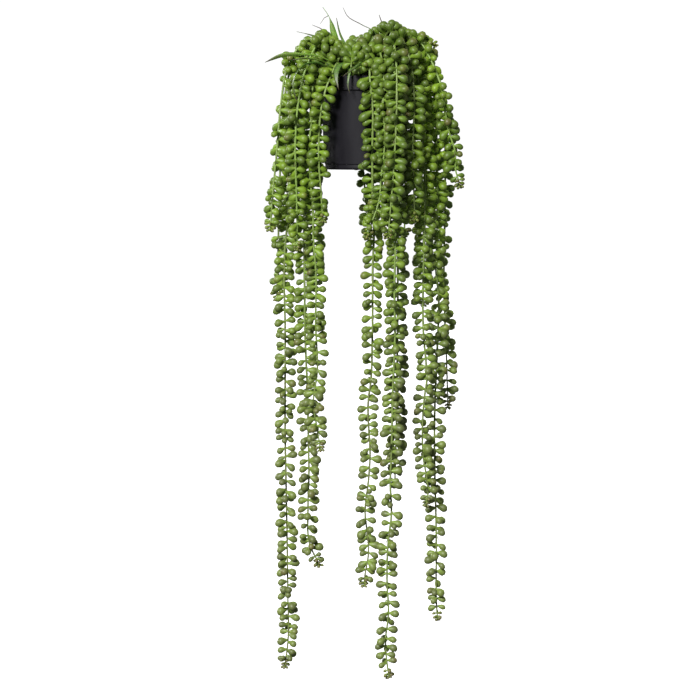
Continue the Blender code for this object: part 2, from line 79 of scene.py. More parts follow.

# %% [markdown]
# ## Meshes from arrays
#
# A mesh could be made with bmesh, one vertex at a time. With a few thousand leaves that is slow
# and hides the formula. Here every shape is an array of points with one row for each point, and
# one helper puts it into Blender. The attribute called tone carries what the finish needs to
# know of each point: how far it is leaf and not stem, how far along the leaf it lies, a number
# drawn for its leaf with painted shade and light added, and how much its leaf blushes.


# %% Mesh helpers
def add_mesh(name, points, faces, tone, finish):
    """One smooth object. faces is a list of arrays, each of faces with the same corner count."""
    mesh = bpy.data.meshes.new(name)
    mesh.vertices.add(len(points))
    mesh.vertices.foreach_set("co", (points * MM).astype(np.float32).ravel())
    corners = np.concatenate([part.ravel() for part in faces])
    counts = np.concatenate([np.full(len(part), part.shape[1]) for part in faces])
    mesh.loops.add(len(corners))
    mesh.loops.foreach_set("vertex_index", corners.astype(np.int32))
    mesh.polygons.add(len(counts))
    mesh.polygons.foreach_set("loop_start", (np.cumsum(counts) - counts).astype(np.int32))
    mesh.update(calc_edges=True)
    mesh.polygons.foreach_set("use_smooth", np.ones(len(counts), dtype=bool))
    layer = mesh.color_attributes.new(name="tone", type="FLOAT_COLOR", domain="POINT")
    layer.data.foreach_set("color", tone.astype(np.float32).ravel())
    mesh.materials.append(finish)
    made = bpy.data.objects.new(name, mesh)
    bpy.context.scene.collection.objects.link(made)
    return made


def closed_grid(rings, sides):
    """Faces of a tube that is shut by a point at each end. Its points are the rings in order, then
    the two ends. A face joins neighbours on a ring to the same two on the next ring."""
    ring = np.arange(rings - 1)[:, None] * sides
    side = np.arange(sides)[None, :]
    after = (side + 1) % sides
    quads = np.stack(
        [ring + side, ring + after, ring + sides + after, ring + sides + side], axis=-1
    )
    first, last = rings * sides, rings * sides + 1
    edge = (rings - 1) * sides
    side, after = side[0], after[0]
    start = np.stack([np.full(sides, first), after, side], axis=-1)
    end = np.stack([np.full(sides, last), edge + side, edge + after], axis=-1)
    return [quads.reshape(-1, 4), np.concatenate([start, end])]


print("a tube of 3 rings of 6:", [len(part) for part in closed_grid(3, 6)], "quads and triangles")

# %% [markdown]
# ## Routes of the stems
#
# Each stem rises from its own root, arches over the rim and hangs. A physics simulation would
# hang them too, but then no stem would lie where the plant's stems lie. A short list of places
# for each one, in millimetres and tip last, keeps that. The frame's solids follow the same list.
# A blade of grass also has its breadth and the direction in which it is broad.

# %% Routes of the hanging stems
HANGING_STEMS = {
    "stem_left_1": [
        (-24, -3), (-54, -5, 43), (-71, -7, 18), (-76, -8, -20), (-77, -8, -69), (-76, -8, -115),
        (-80, -8, -161), (-79.6, -8, -249), (-79.8, -8, -342), (-78.4, -8, -419),
        (-77.3, -8, -501), (-77.2, -8, -552), (-80, -8, -575),
    ],
    "stem_left_2": [
        (-27, -10), (-43, -14, 34), (-55, -17, 19), (-63, -18, -2), (-70, -18, -34),
        (-70, -18, -57), (-66, -17, -75), (-61, -15, -120), (-60.6, -14, -150),
        (-59.5, -14, -250), (-57.2, -14, -308), (-56.6, -14, -348), (-56, -14, -383),
        (-57, -14, -419), (-55.5, -14, -452), (-46, -14, -473),
    ],
    "stem_left_3": [
        (-26, -17), (-37, -24, 31), (-48, -30, 14), (-54, -31, -12), (-53.5, -31, -33),
        (-56, -31, -57), (-54.5, -30, -86), (-51.5, -29, -121), (-51.5, -29, -145),
        (-48.6, -29, -185), (-49.2, -29, -230), (-47.5, -29, -280), (-51.5, -29, -312),
        (-48, -29, -334), (-44.5, -29, -356),
    ],
    "stem_left_4": [
        (-18, -7), (-58, -16, 50), (-77, -22, 22), (-83, -24, -10), (-87, -26, -55),
        (-92, -26, -108), (-94, -26, -137),
    ],
    "stem_left_5": [
        (-24, 5), (-58, 10, 42), (-75, 12, 18), (-81, 13, -15), (-84, 13, -60), (-86, 13, -110),
        (-87, 13, -160), (-88.5, 13, -208),
    ],
    "stem_left_6": [
        (-17, -12), (-45, -28, 47), (-59, -35, 20), (-66, -38, -12), (-69, -39, -50),
        (-68, -38, -100), (-67, -37, -156),
    ],
    "stem_left_7": [
        (-13, -16), (-20, -25, 40), (-30.6, -37, 21), (-39, -44, 0), (-42, -45, -12),
        (-46, -44, -60), (-43, -44, -110), (-42, -44, -128),
    ],
    "stem_right_1": [
        (7, -14), (12, -28, 44), (17, -44, 27), (18.5, -54, 2), (17.5, -56, -13),
        (19.2, -56, -42), (18.5, -56, -64), (15.6, -57, -86), (14, -58, -107), (6, -60, -132),
        (2, -60, -143),
    ],
    "stem_right_2": [
        (2, -13), (2, -27, 43), (4, -43, 28), (5, -52, 6), (7, -53, -12), (7, -51, -64),
        (7.6, -47, -115), (8.7, -45, -139), (7.6, -44, -172), (7, -44, -250), (5.3, -44, -291),
        (3.5, -44, -304), (4.7, -44, -368), (3.5, -44, -385), (0, -44, -420), (2.4, -44, -441),
        (3.5, -44, -456), (-0.5, -44, -484), (-1, -44, -490),
    ],
    "stem_right_3": [
        (15, -20), (22, -31, 40), (27, -47, 27), (30, -60, 0), (30, -62, -25), (29, -62, -70),
        (29.4, -62, -115), (29.9, -62, -145), (28.8, -62, -195), (29.4, -61, -240),
        (27, -60, -303), (25.9, -60, -360), (24.8, -60, -388), (25.9, -60, -420), (23, -60, -444),
        (21.6, -60, -484), (23, -60, -518), (20.2, -60, -545), (21.3, -60, -564),
        (23.5, -60, -579),
    ],
    "stem_right_4": [
        (24, -24), (32, -33, 36), (37, -41, 20), (38, -45, 2), (36, -45, -30), (34, -43, -70),
        (33, -42, -115), (32, -42, -250), (31, -42, -330), (29.5, -42, -391),
    ],
    "stem_right_5": [
        (27, -14), (41, -18, 42), (47, -22.5, 30), (52, -27, 12), (55.2, -30, -12),
        (56.6, -30, -42), (58.8, -30, -70), (59.6, -30, -107), (58.6, -30, -150),
        (58.6, -30, -250), (60.4, -30, -269), (61.5, -30, -286), (59.2, -30, -303),
        (56.9, -30, -343), (58, -30, -366), (60.9, -30, -383), (62.7, -30, -400),
        (60.8, -30, -411),
    ],
    "stem_right_6": [
        (28, -1), (50, -6, 43), (62, -11, 26), (69.5, -14, -2), (71, -14, -60), (71.8, -14, -150),
        (70.7, -14, -179), (73, -14, -202), (71.8, -14, -262), (69.5, -14, -320),
        (69.5, -14, -372), (70.7, -14, -420), (71.3, -14, -456), (71.3, -14, -507),
        (72.3, -14, -527),
    ],
    "stem_right_7": [
        (26, 5), (56, 6, 44), (70, 6, 22), (78, 6, -5), (80, 6, -50), (80, 6, -110),
        (79, 6, -200), (82, 6, -280), (83, 6, -316),
    ],
    "stem_right_8": [
        (20, -6), (50, -16, 53), (63, -22, 34), (71, -27, 16), (76, -30, 2), (80, -30, -26),
        (83, -30, -41), (89.5, -30, -63), (89.5, -30, -78), (94, -30, -94),
    ],
    "stem_right_9": [
        (15, -12), (36, -33, 50), (45, -44, 26), (48, -50, -2), (47, -50, -60), (48, -50, -100),
        (49, -50, -126),
    ],
    "stem_right_10": [
        (8, -8), (25, -38, 58), (30, -62, 32), (31, -75, -3), (30, -77, -40), (27, -77, -90),
        (22.5, -77, -143),
    ],
    "stem_right_11": [
        (22, 11), (46, 18, 45), (59, 20, 22), (66, 20, -7), (66, 20, -60), (66, 20, -110),
        (66, 20, -145),
    ],
    "stem_back_1": [
        (-22, 13), (-47, 26, 42), (-62, 30, 20), (-69, 32, -10), (-71, 32, -70), (-70, 32, -125),
    ],
    "stem_back_2": [
        (-16, 20), (-33, 34, 45), (-46, 44, 23), (-52, 48, -5), (-53, 48, -70), (-52, 48, -150),
        (-51, 48, -200),
    ],
    "stem_back_3": [
        (-2, 21), (-3, 37, 48), (-4, 54, 27), (-5, 62, 2), (-3, 63, -60), (3, 62, -130),
        (5, 62, -150),
    ],
    "stem_back_4": [
        (7, 20), (12, 36, 50), (16, 51, 28), (18, 60, 0), (18, 61, -60), (17, 60, -140),
    ],
    "stem_back_5": [
        (15, 17), (27, 31, 50), (36, 42, 26), (41, 49, -2), (41, 50, -60), (40, 48, -145),
    ],
    "stem_back_6": [
        (23, 17), (42, 30, 47), (54, 37, 24), (59, 42, -4), (60, 42, -60), (59, 42, -150),
        (59, 42, -215),
    ],
}
print("hanging stems:", len(HANGING_STEMS))

# %% Routes of the sprigs
SPRIGS = {
    "sprig_1": [(-16, -1), (-26, -2, 36), (-36, -4, 54), (-45, -5, 56)],
    "sprig_2": [(-6, 5), (-9, 7, 36), (-16, 9, 48)],
    "sprig_3": [(2, -5), (2, -7, 40), (5, -9, 56)],
    "sprig_4": [(6, 5), (13, 5, 46), (20, 5, 60), (27, 5, 59)],
    "sprig_5": [(12, -4), (23, -5, 46), (33, -6, 61), (42, -6, 59)],
    "sprig_6": [(19, 2), (45, 0, 52), (58, 0, 55), (69, 1, 45)],
    "sprig_7": [(-18, 4), (-40, 3, 46), (-56, 3, 50), (-68, 2, 40)],
    "sprig_8": [(-8, -20), (-12, -34, 35), (-13, -47, 32), (-14, -57, 22)],
    "sprig_9": [(-2, -20), (-4, -36, 35), (-5, -48, 29), (-7, -57, 16)],
    "sprig_10": [(-8, 14), (-12, 26, 38), (-14, 40, 44), (-16, 50, 36)],
}
print("sprigs:", len(SPRIGS))

# %% Routes of the grass blades
GRASS_BLADES = {
    "grass_blade_1": (
        6.0, (1, 0, 0), [(-10, -5), (-21, -15, 34), (-31, -19, 56), (-36, -19, 73), (-42, -20, 82)],
    ),
    "grass_blade_2": (
        2.5, (1, 0, 0), [(-8, -11), (-15, -13, 36), (-25, -13, 56), (-28.5, -14, 71.5)],
    ),
    "grass_blade_3": (
        1.8, (0, 1, 1), [(-12, 7), (-28, 10, 40), (-42, 8, 60), (-53, 5, 65)],
    ),
    "grass_blade_4": (
        4.0, (0.5, 0.5, 0.7), [(-14, -5.5), (-34, -10, 46), (-52, -9, 54), (-68, -11, 58)],
    ),
    "grass_blade_5": (
        5.0, (0, -0.6, 0.8), [
            (-21, -22), (-42, -40, 32), (-60, -46, 35), (-82, -47, 34), (-99, -47, 27),
        ],
    ),
    "grass_blade_6": (
        4.0, (0, -0.9, 0.4), [
            (-27, -27), (-36, -39, 25), (-50, -53, 30), (-60, -58, 31), (-73, -61, 29),
        ],
    ),
    "grass_blade_7": (
        2.2, (0.3, 1, 0), [
            (7, -1), (11, -1, 38), (10, -1, 57), (-3.6, -2, 65), (-18, -4, 74), (-22, -4, 82),
        ],
    ),
    "grass_blade_8": (
        2.0, (1, 0, 0), [(14, 1), (18, 0, 40), (18, 0, 62), (14, 0, 75)],
    ),
    "grass_blade_9": (
        6.5, (1, -0.2, 0.1), [
            (-15, -29), (-22, -42, 27), (-28, -51, 20), (-28, -56, 8), (-26, -57, 0),
        ],
    ),
    "grass_blade_10": (
        3.0, (1, -0.3, 0), [
            (-5, -29), (-13, -45, 25), (-16, -53, 14), (-17, -55, 3), (-15, -55, -4),
        ],
    ),
    "grass_blade_11": (
        3.5, (0, 0.3, 1), [(4, -27), (-2, -45, 25), (-7, -60, 24), (-15, -67, 18), (-22, -70, 13)],
    ),
    "grass_blade_12": (
        4.0, (0.5, -0.6, 0.6), [
            (-30, -21), (-50, -42, 27), (-64, -50, 22), (-71, -52, 8), (-67, -52, -13),
        ],
    ),
}
print("grass blades:", len(GRASS_BLADES))

# %% [markdown]
# ## Measures of the pot and the soil
#
# Stems are rooted in the soil and hang past the pot, so the measures of both come before them.
# The pot tapers from the collar at its rim down to its base. Heights count from the underside of
# the collar. The soil could be flat, but potting soil is heaped a little, and a parabola does it.

# %% Pot and soil measures
RIM_RADIUS = 47.0
RIM_TOP = 14.0
WALL = 1.6
SEAT_RADIUS = 44.5
BASE_RADIUS = 40.0
BASE_Z = -79.0
SOIL_EDGE_Z = 3.0
SOIL_DOME = 5.0


def wall_radius(height):
    """Outer radius of the wall: it falls in a straight line from the seat to the base."""
    return SEAT_RADIUS + (BASE_RADIUS - SEAT_RADIUS) * (height / BASE_Z)


def soil_height(x, y):
    """Height of the soil: a low dome, a parabola of the distance from the middle."""
    return SOIL_EDGE_Z + SOIL_DOME * (1.0 - (x * x + y * y) / (RIM_RADIUS - WALL) ** 2)


print("pot:", RIM_TOP - BASE_Z, "mm tall; soil up to", soil_height(0.0, 0.0), "mm")

# %% [markdown]
# ## A smooth path through a few places
#
# A Blender curve object could do this, but its points would then be hidden in the object. A cubic
# between each two places, with the mean slope at its ends, passes through every place and gives an
# array that both the tube and the leaves can use.

# %% Paths
ROOT_DEPTH = 9.0
STEM_RISE = 3.0
PATH_STEP = 1.0


def smooth_path(route):
    """Points about a millimetre apart, and their distances along the path. In each stretch the
    path is a cubic of the share t: the sum of both ends and both slopes, each with its weight."""
    x, y = route[0]
    top = soil_height(x, y)
    root = [(x, y, top - ROOT_DEPTH), (x, y, top + STEM_RISE)]
    knots = np.array(root + route[1:], dtype=float)
    at = np.concatenate([[0.0], np.cumsum(np.linalg.norm(np.diff(knots, axis=0), axis=1))])
    slopes = np.gradient(knots, at, axis=0)
    where = np.linspace(0.0, at[-1], int(at[-1] / PATH_STEP) + 2)
    left = np.clip(np.searchsorted(at, where, side="right") - 1, 0, len(at) - 2)
    span = (at[left + 1] - at[left])[:, None]
    t = (where - at[left])[:, None] / span
    path = (
        (2 * t**3 - 3 * t**2 + 1) * knots[left]
        + (t**3 - 2 * t**2 + t) * span * slopes[left]
        + (3 * t**2 - 2 * t**3) * knots[left + 1]
        + (t**3 - t**2) * span * slopes[left + 1]
    )
    steps = np.linalg.norm(np.diff(path, axis=0), axis=1)
    return path, np.concatenate([[0.0], np.cumsum(steps)])


def along_path(path, along, distance):
    """Places at given distances along a path."""
    return np.stack([np.interp(distance, along, axis) for axis in path.T], axis=-1)


def unit(vectors):
    """Each row brought to length one."""
    return vectors / np.linalg.norm(vectors, axis=-1, keepdims=True)


print("path of stem_left_1:", round(smooth_path(HANGING_STEMS["stem_left_1"])[1][-1]), "mm long")

# %% [markdown]
# ## Shader maths in plain expressions
#
# Node trees are hard to read as code. A small class wraps a socket, so that an expression such as
# 1 - mask adds its own Math node. Colours go through Mix nodes, because a Math node turns them
# grey.


# %% Sockets
class Socket:
    """A node's output, with + - * and ** that add Math nodes."""

    def __init__(self, tree, output):
        self.tree = tree
        self.output = output

    def node(self, kind, settings=(), **inputs):
        """Adds a node: its settings first, then values or links for its inputs. An input is called
        by its name with _ for each blank or, where names repeat, by _ and its number."""
        made = self.tree.nodes.new(kind)
        for name, value in dict(settings).items():
            setattr(made, name, value)
        for name, value in inputs.items():
            number = name[1:]
            entry = made.inputs[int(number) if number.isdigit() else name.replace("_", " ")]
            if isinstance(value, Socket):
                self.tree.links.new(value.output, entry)
            else:
                entry.default_value = value
        return made

    def math(self, operation, first, second=0.0):
        """A Math node's result as a new Socket."""
        made = self.node("ShaderNodeMath", {"operation": operation}, _0=first, _1=second)
        return Socket(self.tree, made.outputs[0])

    def __add__(self, other):
        return self.math("ADD", self, other)

    def __radd__(self, other):
        return self.math("ADD", other, self)

    def __sub__(self, other):
        return self.math("SUBTRACT", self, other)

    def __rsub__(self, other):
        return self.math("SUBTRACT", other, self)

    def __mul__(self, other):
        return self.math("MULTIPLY", self, other)

    def __rmul__(self, other):
        return self.math("MULTIPLY", other, self)

    def __pow__(self, other):
        return self.math("POWER", self, other)

    def clamped(self):
        """The value kept between 0 and 1."""
        return self.math("MAXIMUM", self.math("MINIMUM", self, 1.0), 0.0)

    def spread(self, above, times):
        """What lies above a level, times a number, kept between 0 and 1."""
        return ((self - above) * times).clamped()

    def mix(self, first, second):
        """A colour between first and second, with this value as the share of the second."""
        settings = {"data_type": "RGBA", "clamp_factor": True}
        made = self.node("ShaderNodeMix", settings, _0=self, _6=first, _7=second)
        return Socket(self.tree, made.outputs[2])


print("reflected operators:", [name for name in vars(Socket) if name.startswith("__r")])


# %% Finishes
class Finish:
    """A material under construction: its Principled shader and its starting sockets. Constants go
    straight to the shader's own sockets."""

    def __init__(self, name, roughness, **constants):
        self.material = bpy.data.materials.new(name)
        self.material.use_nodes = True
        self.tree = self.material.node_tree
        self.shader = self.tree.nodes["Principled BSDF"]
        self.shader.inputs["Roughness"].default_value = roughness
        for key, value in constants.items():
            self.shader.inputs[key.replace("_", " ")].default_value = value
        self.start = Socket(self.tree, None)
        self.place = Socket(self.tree, self.start.node("ShaderNodeTexCoord").outputs["Object"])

    def tone(self):
        """The four channels of the tone attribute."""
        found = self.start.node("ShaderNodeAttribute", {"attribute_name": "tone"})
        colour = Socket(self.tree, found.outputs["Color"])
        split = self.start.node("ShaderNodeSeparateColor", {}, _0=colour)
        return [Socket(self.tree, split.outputs[i]) for i in range(3)] + [
            Socket(self.tree, found.outputs["Alpha"])
        ]

    def height(self):
        """Height in metres, from the Object coordinates."""
        split = self.start.node("ShaderNodeSeparateXYZ", {}, _0=self.place)
        return Socket(self.tree, split.outputs["Z"])

    def noise(self, scale, detail=3.0, stretch=None):
        """Noise from 0 to 1 on Object coordinates, stretched along an axis where wanted."""
        place = self.place
        if stretch:
            moved = self.start.node("ShaderNodeMapping", {}, Vector=place, Scale=stretch)
            place = Socket(self.tree, moved.outputs[0])
        made = self.start.node(
            "ShaderNodeTexNoise", {}, Vector=place, Scale=scale, Detail=detail
        )
        return Socket(self.tree, made.outputs[0])

    def set(self, name, value):
        """Feeds one of the shader's inputs."""
        self.tree.links.new(value.output, self.shader.inputs[name])

    def rough(self, pattern, least, more):
        """Feeds the roughness: least, plus more where the pattern is 1."""
        self.set("Roughness", least + pattern * more)

    def bump(self, height, strength, distance):
        """Feeds the shader's normal with a fine relief."""
        made = self.start.node(
            "ShaderNodeBump", {}, Height=height, Strength=strength, Distance=distance
        )
        self.tree.links.new(made.outputs[0], self.shader.inputs["Normal"])


print("a finish offers:", [name for name in vars(Finish) if not name.startswith("_")])

# %% [markdown]
# ## Leaf and stem finish
#
# A pearl leaf is waxy: smooth, with a small soft highlight. It is yellow-green at its neck and
# deeper at its round end, and a few leaves blush brown. One plain green would look like paint, so
# the tone attribute steers the mix, and noise a millimetre or two across mottles the skin. Leaves
# low on the strands are duller than those on top, so the height joins in as well.

# %% Leaf colours
# Colours are linear: red, green, blue and 1. Leaves begin to dull below the height DULL_FROM and
# are wholly dull DULL_OVER further down, in metres.
STEM_PALE = (0.200, 0.310, 0.060, 1.0)
STEM_BROWN = (0.105, 0.075, 0.045, 1.0)
LEAF_NECK = (0.240, 0.375, 0.036, 1.0)
TOP_BRIGHT = (0.222, 0.362, 0.022, 1.0)
TOP_DEEP = (0.078, 0.138, 0.015, 1.0)
LOW_BRIGHT = (0.195, 0.264, 0.055, 1.0)
LOW_DEEP = (0.117, 0.145, 0.047, 1.0)
LEAF_OLIVE = (0.088, 0.082, 0.028, 1.0)
LEAF_BLUSH = (0.150, 0.110, 0.040, 1.0)
DULL_FROM = -0.10
DULL_OVER = 0.22

leaf_finish = Finish(
    "pearl_leaf", 0.45, Subsurface_Weight=0.05, Subsurface_Scale=0.0015,
    Subsurface_Radius=(0.5, 1.0, 0.2), Coat_Weight=0.08, Coat_Roughness=0.4,
)
is_leaf, along, chance_and_painted_shading, blush = leaf_finish.tone()
mottle = leaf_finish.noise(scale=420.0)
streak = leaf_finish.noise(scale=160.0, detail=2.0)
dull = ((DULL_FROM - leaf_finish.height()) * (1.0 / DULL_OVER)).clamped()
print("dull from", DULL_FROM, "m, wholly at", round(DULL_FROM - DULL_OVER, 2), "m")

# %% Leaf finish
DEPTH_CHANCE, DEPTH_MOTTLE, DEPTH_LESS = 0.8, 0.4, 0.1
NECK_SHARE, NECK_FADE = 0.8, 2.2
OLIVE_SHARE, OLIVE_POWER, OLIVE_LEAST = 0.4, 4.0, 0.4
BLUSH_SHARE, BLUSH_POWER = 1.3, 2.0
BROWN_BLUSH, BROWN_STREAK, BROWN_DULL, BROWN_LESS = 0.8, 0.5, 0.35, 0.25

# The drawn number carries painted shade and painted light for upper leaves, by their place.
depth_and_painted_shading = (chance_and_painted_shading * DEPTH_CHANCE + mottle * DEPTH_MOTTLE - DEPTH_LESS).clamped()
body = dull.mix(depth_and_painted_shading.mix(TOP_BRIGHT, TOP_DEEP), depth_and_painted_shading.mix(LOW_BRIGHT, LOW_DEEP))
body = ((1.0 - along * NECK_FADE).clamped() * NECK_SHARE).mix(body, LEAF_NECK)
olive = (along ** OLIVE_POWER) * OLIVE_SHARE * (mottle + OLIVE_LEAST)
body = olive.clamped().mix(body, LEAF_OLIVE)
body = (blush * (along ** BLUSH_POWER) * streak * BLUSH_SHARE).clamped().mix(body, LEAF_BLUSH)
brown = blush * BROWN_BLUSH + streak * BROWN_STREAK + dull * BROWN_DULL - BROWN_LESS
stem_colour = brown.clamped().mix(STEM_PALE, STEM_BROWN)
leaf_finish.set("Base Color", is_leaf.mix(stem_colour, body))
leaf_finish.rough(mottle, least=0.40, more=0.16)
leaf_finish.bump(mottle, strength=0.12, distance=0.0004)
print("leaf finish:", len(leaf_finish.tree.nodes), "nodes")

# %% [markdown]
# ## The pearl leaf
#
# A sphere on a stick would be the quick way, but the real leaf is one pear: a thin neck that
# swells without a crease into a round head. Its radius is a function of the share t of its
# length. The first parameter runs from the stem to the end, the second runs round. Some leaves
# are slender pears and some nearly eggs, so each has its own fullness, the power that its
# swelling is raised to.

# %% Leaf shape
LEAF_LENGTH = 11.0
LEAF_RADIUS = 3.5
LEAF_SIDES = 8
NECK = 0.23
NECK_END = 0.02
WIDEST = 0.67
LEAF_RINGS = np.array([0.02, 0.16, 0.31, 0.46, 0.60, 0.74, 0.88, 0.97])


def pear_radius(t, fullness):
    """Half breadth, 1 at the widest: a sine to the power of the fullness, then a quarter of an
    ellipse."""
    rise = np.sin(0.5 * np.pi * np.clip((t - NECK_END) / (WIDEST - NECK_END), 0.0, 1.0))
    closing = np.sqrt(np.clip(1.0 - ((t - WIDEST) / (1.0 - WIDEST)) ** 2, 0.0, 1.0))
    return np.where(t < WIDEST, NECK + (1.0 - NECK) * rise**fullness, closing)


def pearl():
    """Share of length, cosine and sine for each point of one leaf; both are 0 at the two ends."""
    angle = np.arange(LEAF_SIDES) * 2.0 * np.pi / LEAF_SIDES
    t, turn = np.meshgrid(LEAF_RINGS, angle, indexing="ij")
    grid = np.stack([t, np.cos(turn), np.sin(turn)], axis=-1)
    ends = np.array([[0.0, 0.0, 0.0], [1.0, 0.0, 0.0]])
    return np.concatenate([grid.reshape(-1, 3), ends])


PEARL = pearl()
PEARL_FACES = closed_grid(len(LEAF_RINGS), LEAF_SIDES)
print("one leaf:", len(PEARL), "points,", sum(len(part) for part in PEARL_FACES), "faces")

# %% [markdown]
# ## Many leaves at once
#
# Three thousand objects with one shared mesh would be light, but then a strand wouldn't be one
# piece. So all leaves of a strand are one array, with a row of numbers for each leaf. A leaf's
# head sinks with the square of the share of its length, as a weight on a soft stalk does.

# %% Leaves as one array
DOWN = np.array([0.0, 0.0, -1.0])
UPRIGHT = 0.05


def leaves_mesh(roots, axes, lengths, radii, sag, fullness):
    """Each leaf's points are root + axis * length * t, plus the pear's breadth across the axis,
    plus a sag of t squared downwards."""
    down = DOWN - axes * -axes[:, 2:3]
    weak = np.linalg.norm(down, axis=1) < UPRIGHT
    down[weak] = np.cross(axes[weak], (0.0, 1.0, 0.0))
    down = unit(down)
    across = np.cross(axes, down)
    t, first, second = PEARL.T
    breadth = radii[:, None] * pear_radius(t[None, :], fullness[:, None])
    points = (
        roots[:, None]
        + axes[:, None] * (lengths[:, None] * t)[..., None]
        + down[:, None] * (breadth * first + (sag * lengths)[:, None] * t**2)[..., None]
        + across[:, None] * (breadth * second)[..., None]
    )
    shift = (np.arange(len(roots)) * len(PEARL))[:, None, None]
    faces = [(part[None] + shift).reshape(-1, part.shape[1]) for part in PEARL_FACES]
    return points.reshape(-1, 3), faces


trial, _ = leaves_mesh(
    np.zeros((1, 3)), np.array([[1.0, 0.0, 0.0]]), np.array([LEAF_LENGTH]),
    np.array([LEAF_RADIUS]), np.zeros(1), np.array([1.5]),
)
print("a leaf's box:", np.ptp(trial, axis=0).round(1), "mm")

# %% [markdown]
# ## Space already taken
#
# Heads of leaves don't pass through each other on the plant, nor through stems. A test of true
# shapes would be exact and slow. Here the plant is a bag of balls, each with its radius: one for
# every third point of a stem or blade, and one for each head as it is placed. The pot is too
# large for balls, so the room beside it is worked out from its profile.

# %% Taken space
STEM_RADIUS = 1.2
BALL_EVERY = 3
MOST_BALLS = 14000
FAR_OFF = 1e4


class Taken:
    """Balls of taken space: the stems, the blades and each head as it is placed."""

    def __init__(self, room):
        self.places = np.full((room, 3), FAR_OFF)
        self.radii = np.zeros(room)
        self.count = 0

    def clearance(self, place):
        """Distance from a place to the nearest ball's surface."""
        apart = np.linalg.norm(self.places[: self.count] - place, axis=1)
        return float((apart - self.radii[: self.count]).min())

    def add(self, places, radius):
        """Puts balls of one radius in."""
        places = np.atleast_2d(places)
        after = self.count + len(places)
        self.places[self.count : after] = places
        self.radii[self.count : after] = radius
        self.count = after


taken = Taken(MOST_BALLS)
blade_routes = [values[-1] for values in GRASS_BLADES.values()]
for route in list(HANGING_STEMS.values()) + list(SPRIGS.values()) + blade_routes:
    taken.add(smooth_path(route)[0][::BALL_EVERY], STEM_RADIUS)
print("balls on stems and blades:", taken.count)


# %% Room beside the pot
def pot_clearance(place):
    """Rough distance from a place to the pot's outside, negative inside it or its soil."""
    radius = math.hypot(place[0], place[1])
    if place[2] > RIM_TOP:
        if radius < RIM_RADIUS - WALL:
            return place[2] - soil_height(place[0], place[1])
        return max(place[2] - RIM_TOP, radius - RIM_RADIUS)
    if place[2] < BASE_Z:
        return BASE_Z - place[2]
    if place[2] > SOIL_EDGE_Z and radius < RIM_RADIUS - WALL:
        return min(place[2] - soil_height(place[0], place[1]), RIM_RADIUS - WALL - radius)
    return radius - (RIM_RADIUS if place[2] > 0.0 else wall_radius(place[2]))


print("room 60 mm off the middle:", [pot_clearance((60.0, 0.0, z)) for z in (20.0, 0.0, -79.0)])

# %% [markdown]
# ## The outline seen from the front
#
# From the front the plant is a crown of two humps over a left and a right curtain, with an open
# space between them below the pot. Leaves that point freely would blur all that. So an outline in
# a few places, in millimetres, keeps them in. Round its own node a leaf may cross it, because a
# stem that runs along the outline would be bare otherwise.

# %% Outline
CEILING = np.array([
    (-80, 31), (-69, 41), (-62, 46), (-52, 49), (-47, 56), (-43, 63), (-35, 55), (-20, 45),
    (-13, 53), (-7, 55), (3, 59), (15, 67), (21, 69), (33, 69), (40, 60), (47, 60), (56, 54),
    (62, 49), (67, 45), (75, 34),
], dtype=float)
SIDE_HEIGHTS = np.array([
    -240, -217, -202, -187, -172, -157, -142, -127, -112, -97, -82, -67, -52, -37, -22, -7, 8,
    23, 40,
], dtype=float)
LEFT_SIDE = np.array([
    -110, -90, -93, -93, -91, -91, -96, -101, -101, -97, -94, -91, -90, -89, -90, -84, -82,
    -84, -84,
], dtype=float)
RIGHT_SIDE = np.array([
    110, 83, 83, 77, 78, 82, 81, 82, 79, 98, 99, 98, 97, 93, 87, 85, 78, 70, 76,
], dtype=float)
GAP_HEIGHTS = (-125.0, -84.0)
GAP_SIDES = (-42.0, -6.0)
GAP_MIDDLE = -24.0
NODE_ROOM = 6.5
NODE_ROOM_ABOVE = 2.5


def outline_room(place, node):
    """Distance from a place to the outline, negative outside it: the least of the distances to the
    ceiling, to both sides and to the gap. Each of them gives way round the leaf's own node."""
    x, _, z = place
    left = min(np.interp(z, SIDE_HEIGHTS, LEFT_SIDE), node[0] - NODE_ROOM)
    right = max(np.interp(z, SIDE_HEIGHTS, RIGHT_SIDE), node[0] + NODE_ROOM)
    top = max(np.interp(x, *CEILING.T), node[2] + NODE_ROOM_ABOVE)
    room = min(top - z, x - left, right - x)
    if GAP_HEIGHTS[0] < z < GAP_HEIGHTS[1]:
        before = max(GAP_SIDES[0], node[0] + NODE_ROOM)
        after = min(GAP_SIDES[1], node[0] - NODE_ROOM)
        room = min(room, before - x if node[0] < GAP_MIDDLE else x - after)
    return room


print("crown:", CEILING[:, 1].max(), "mm high; gap:", GAP_SIDES[1] - GAP_SIDES[0], "mm broad")

# %% [markdown]
# ## Which way a leaf points
#
# On a hanging stem leaves point mostly to the left and right and hang their heads a little. In
# the crown they point every way, also up. Drawing them blindly would push heads into each other
# and into the pot. So each leaf draws a few ways and takes the first that is clear of the balls,
# the pot and the outline, or the clearest.

# %% A leaf's way
SEED = 41
draw = np.random.default_rng(SEED)
# Angles in radians: a spread round the stem, and a droop's mean and spread.
HANGING_SPREAD = 0.48
CROWN_SPREAD = 1.4
HANGING_DROOP = (0.15, 0.22)
CROWN_DROOP = (-0.5, 0.45)
THIRD_SPREAD = 1.0
WEAK_SIDE = 0.2
POT_MARGIN = 1.6
HEAD_GAP = 2.65
TRIES = 9


def stem_sides(tangent):
    """Two directions across a stem, the first as near to X as can be, or else to Y."""
    side = np.array([1.0, 0.0, 0.0]) - tangent * tangent[0]
    if np.linalg.norm(side) < WEAK_SIDE:
        side = np.array([0.0, 1.0, 0.0]) - tangent * tangent[1]
    side = unit(side)
    return side, np.cross(tangent, side)


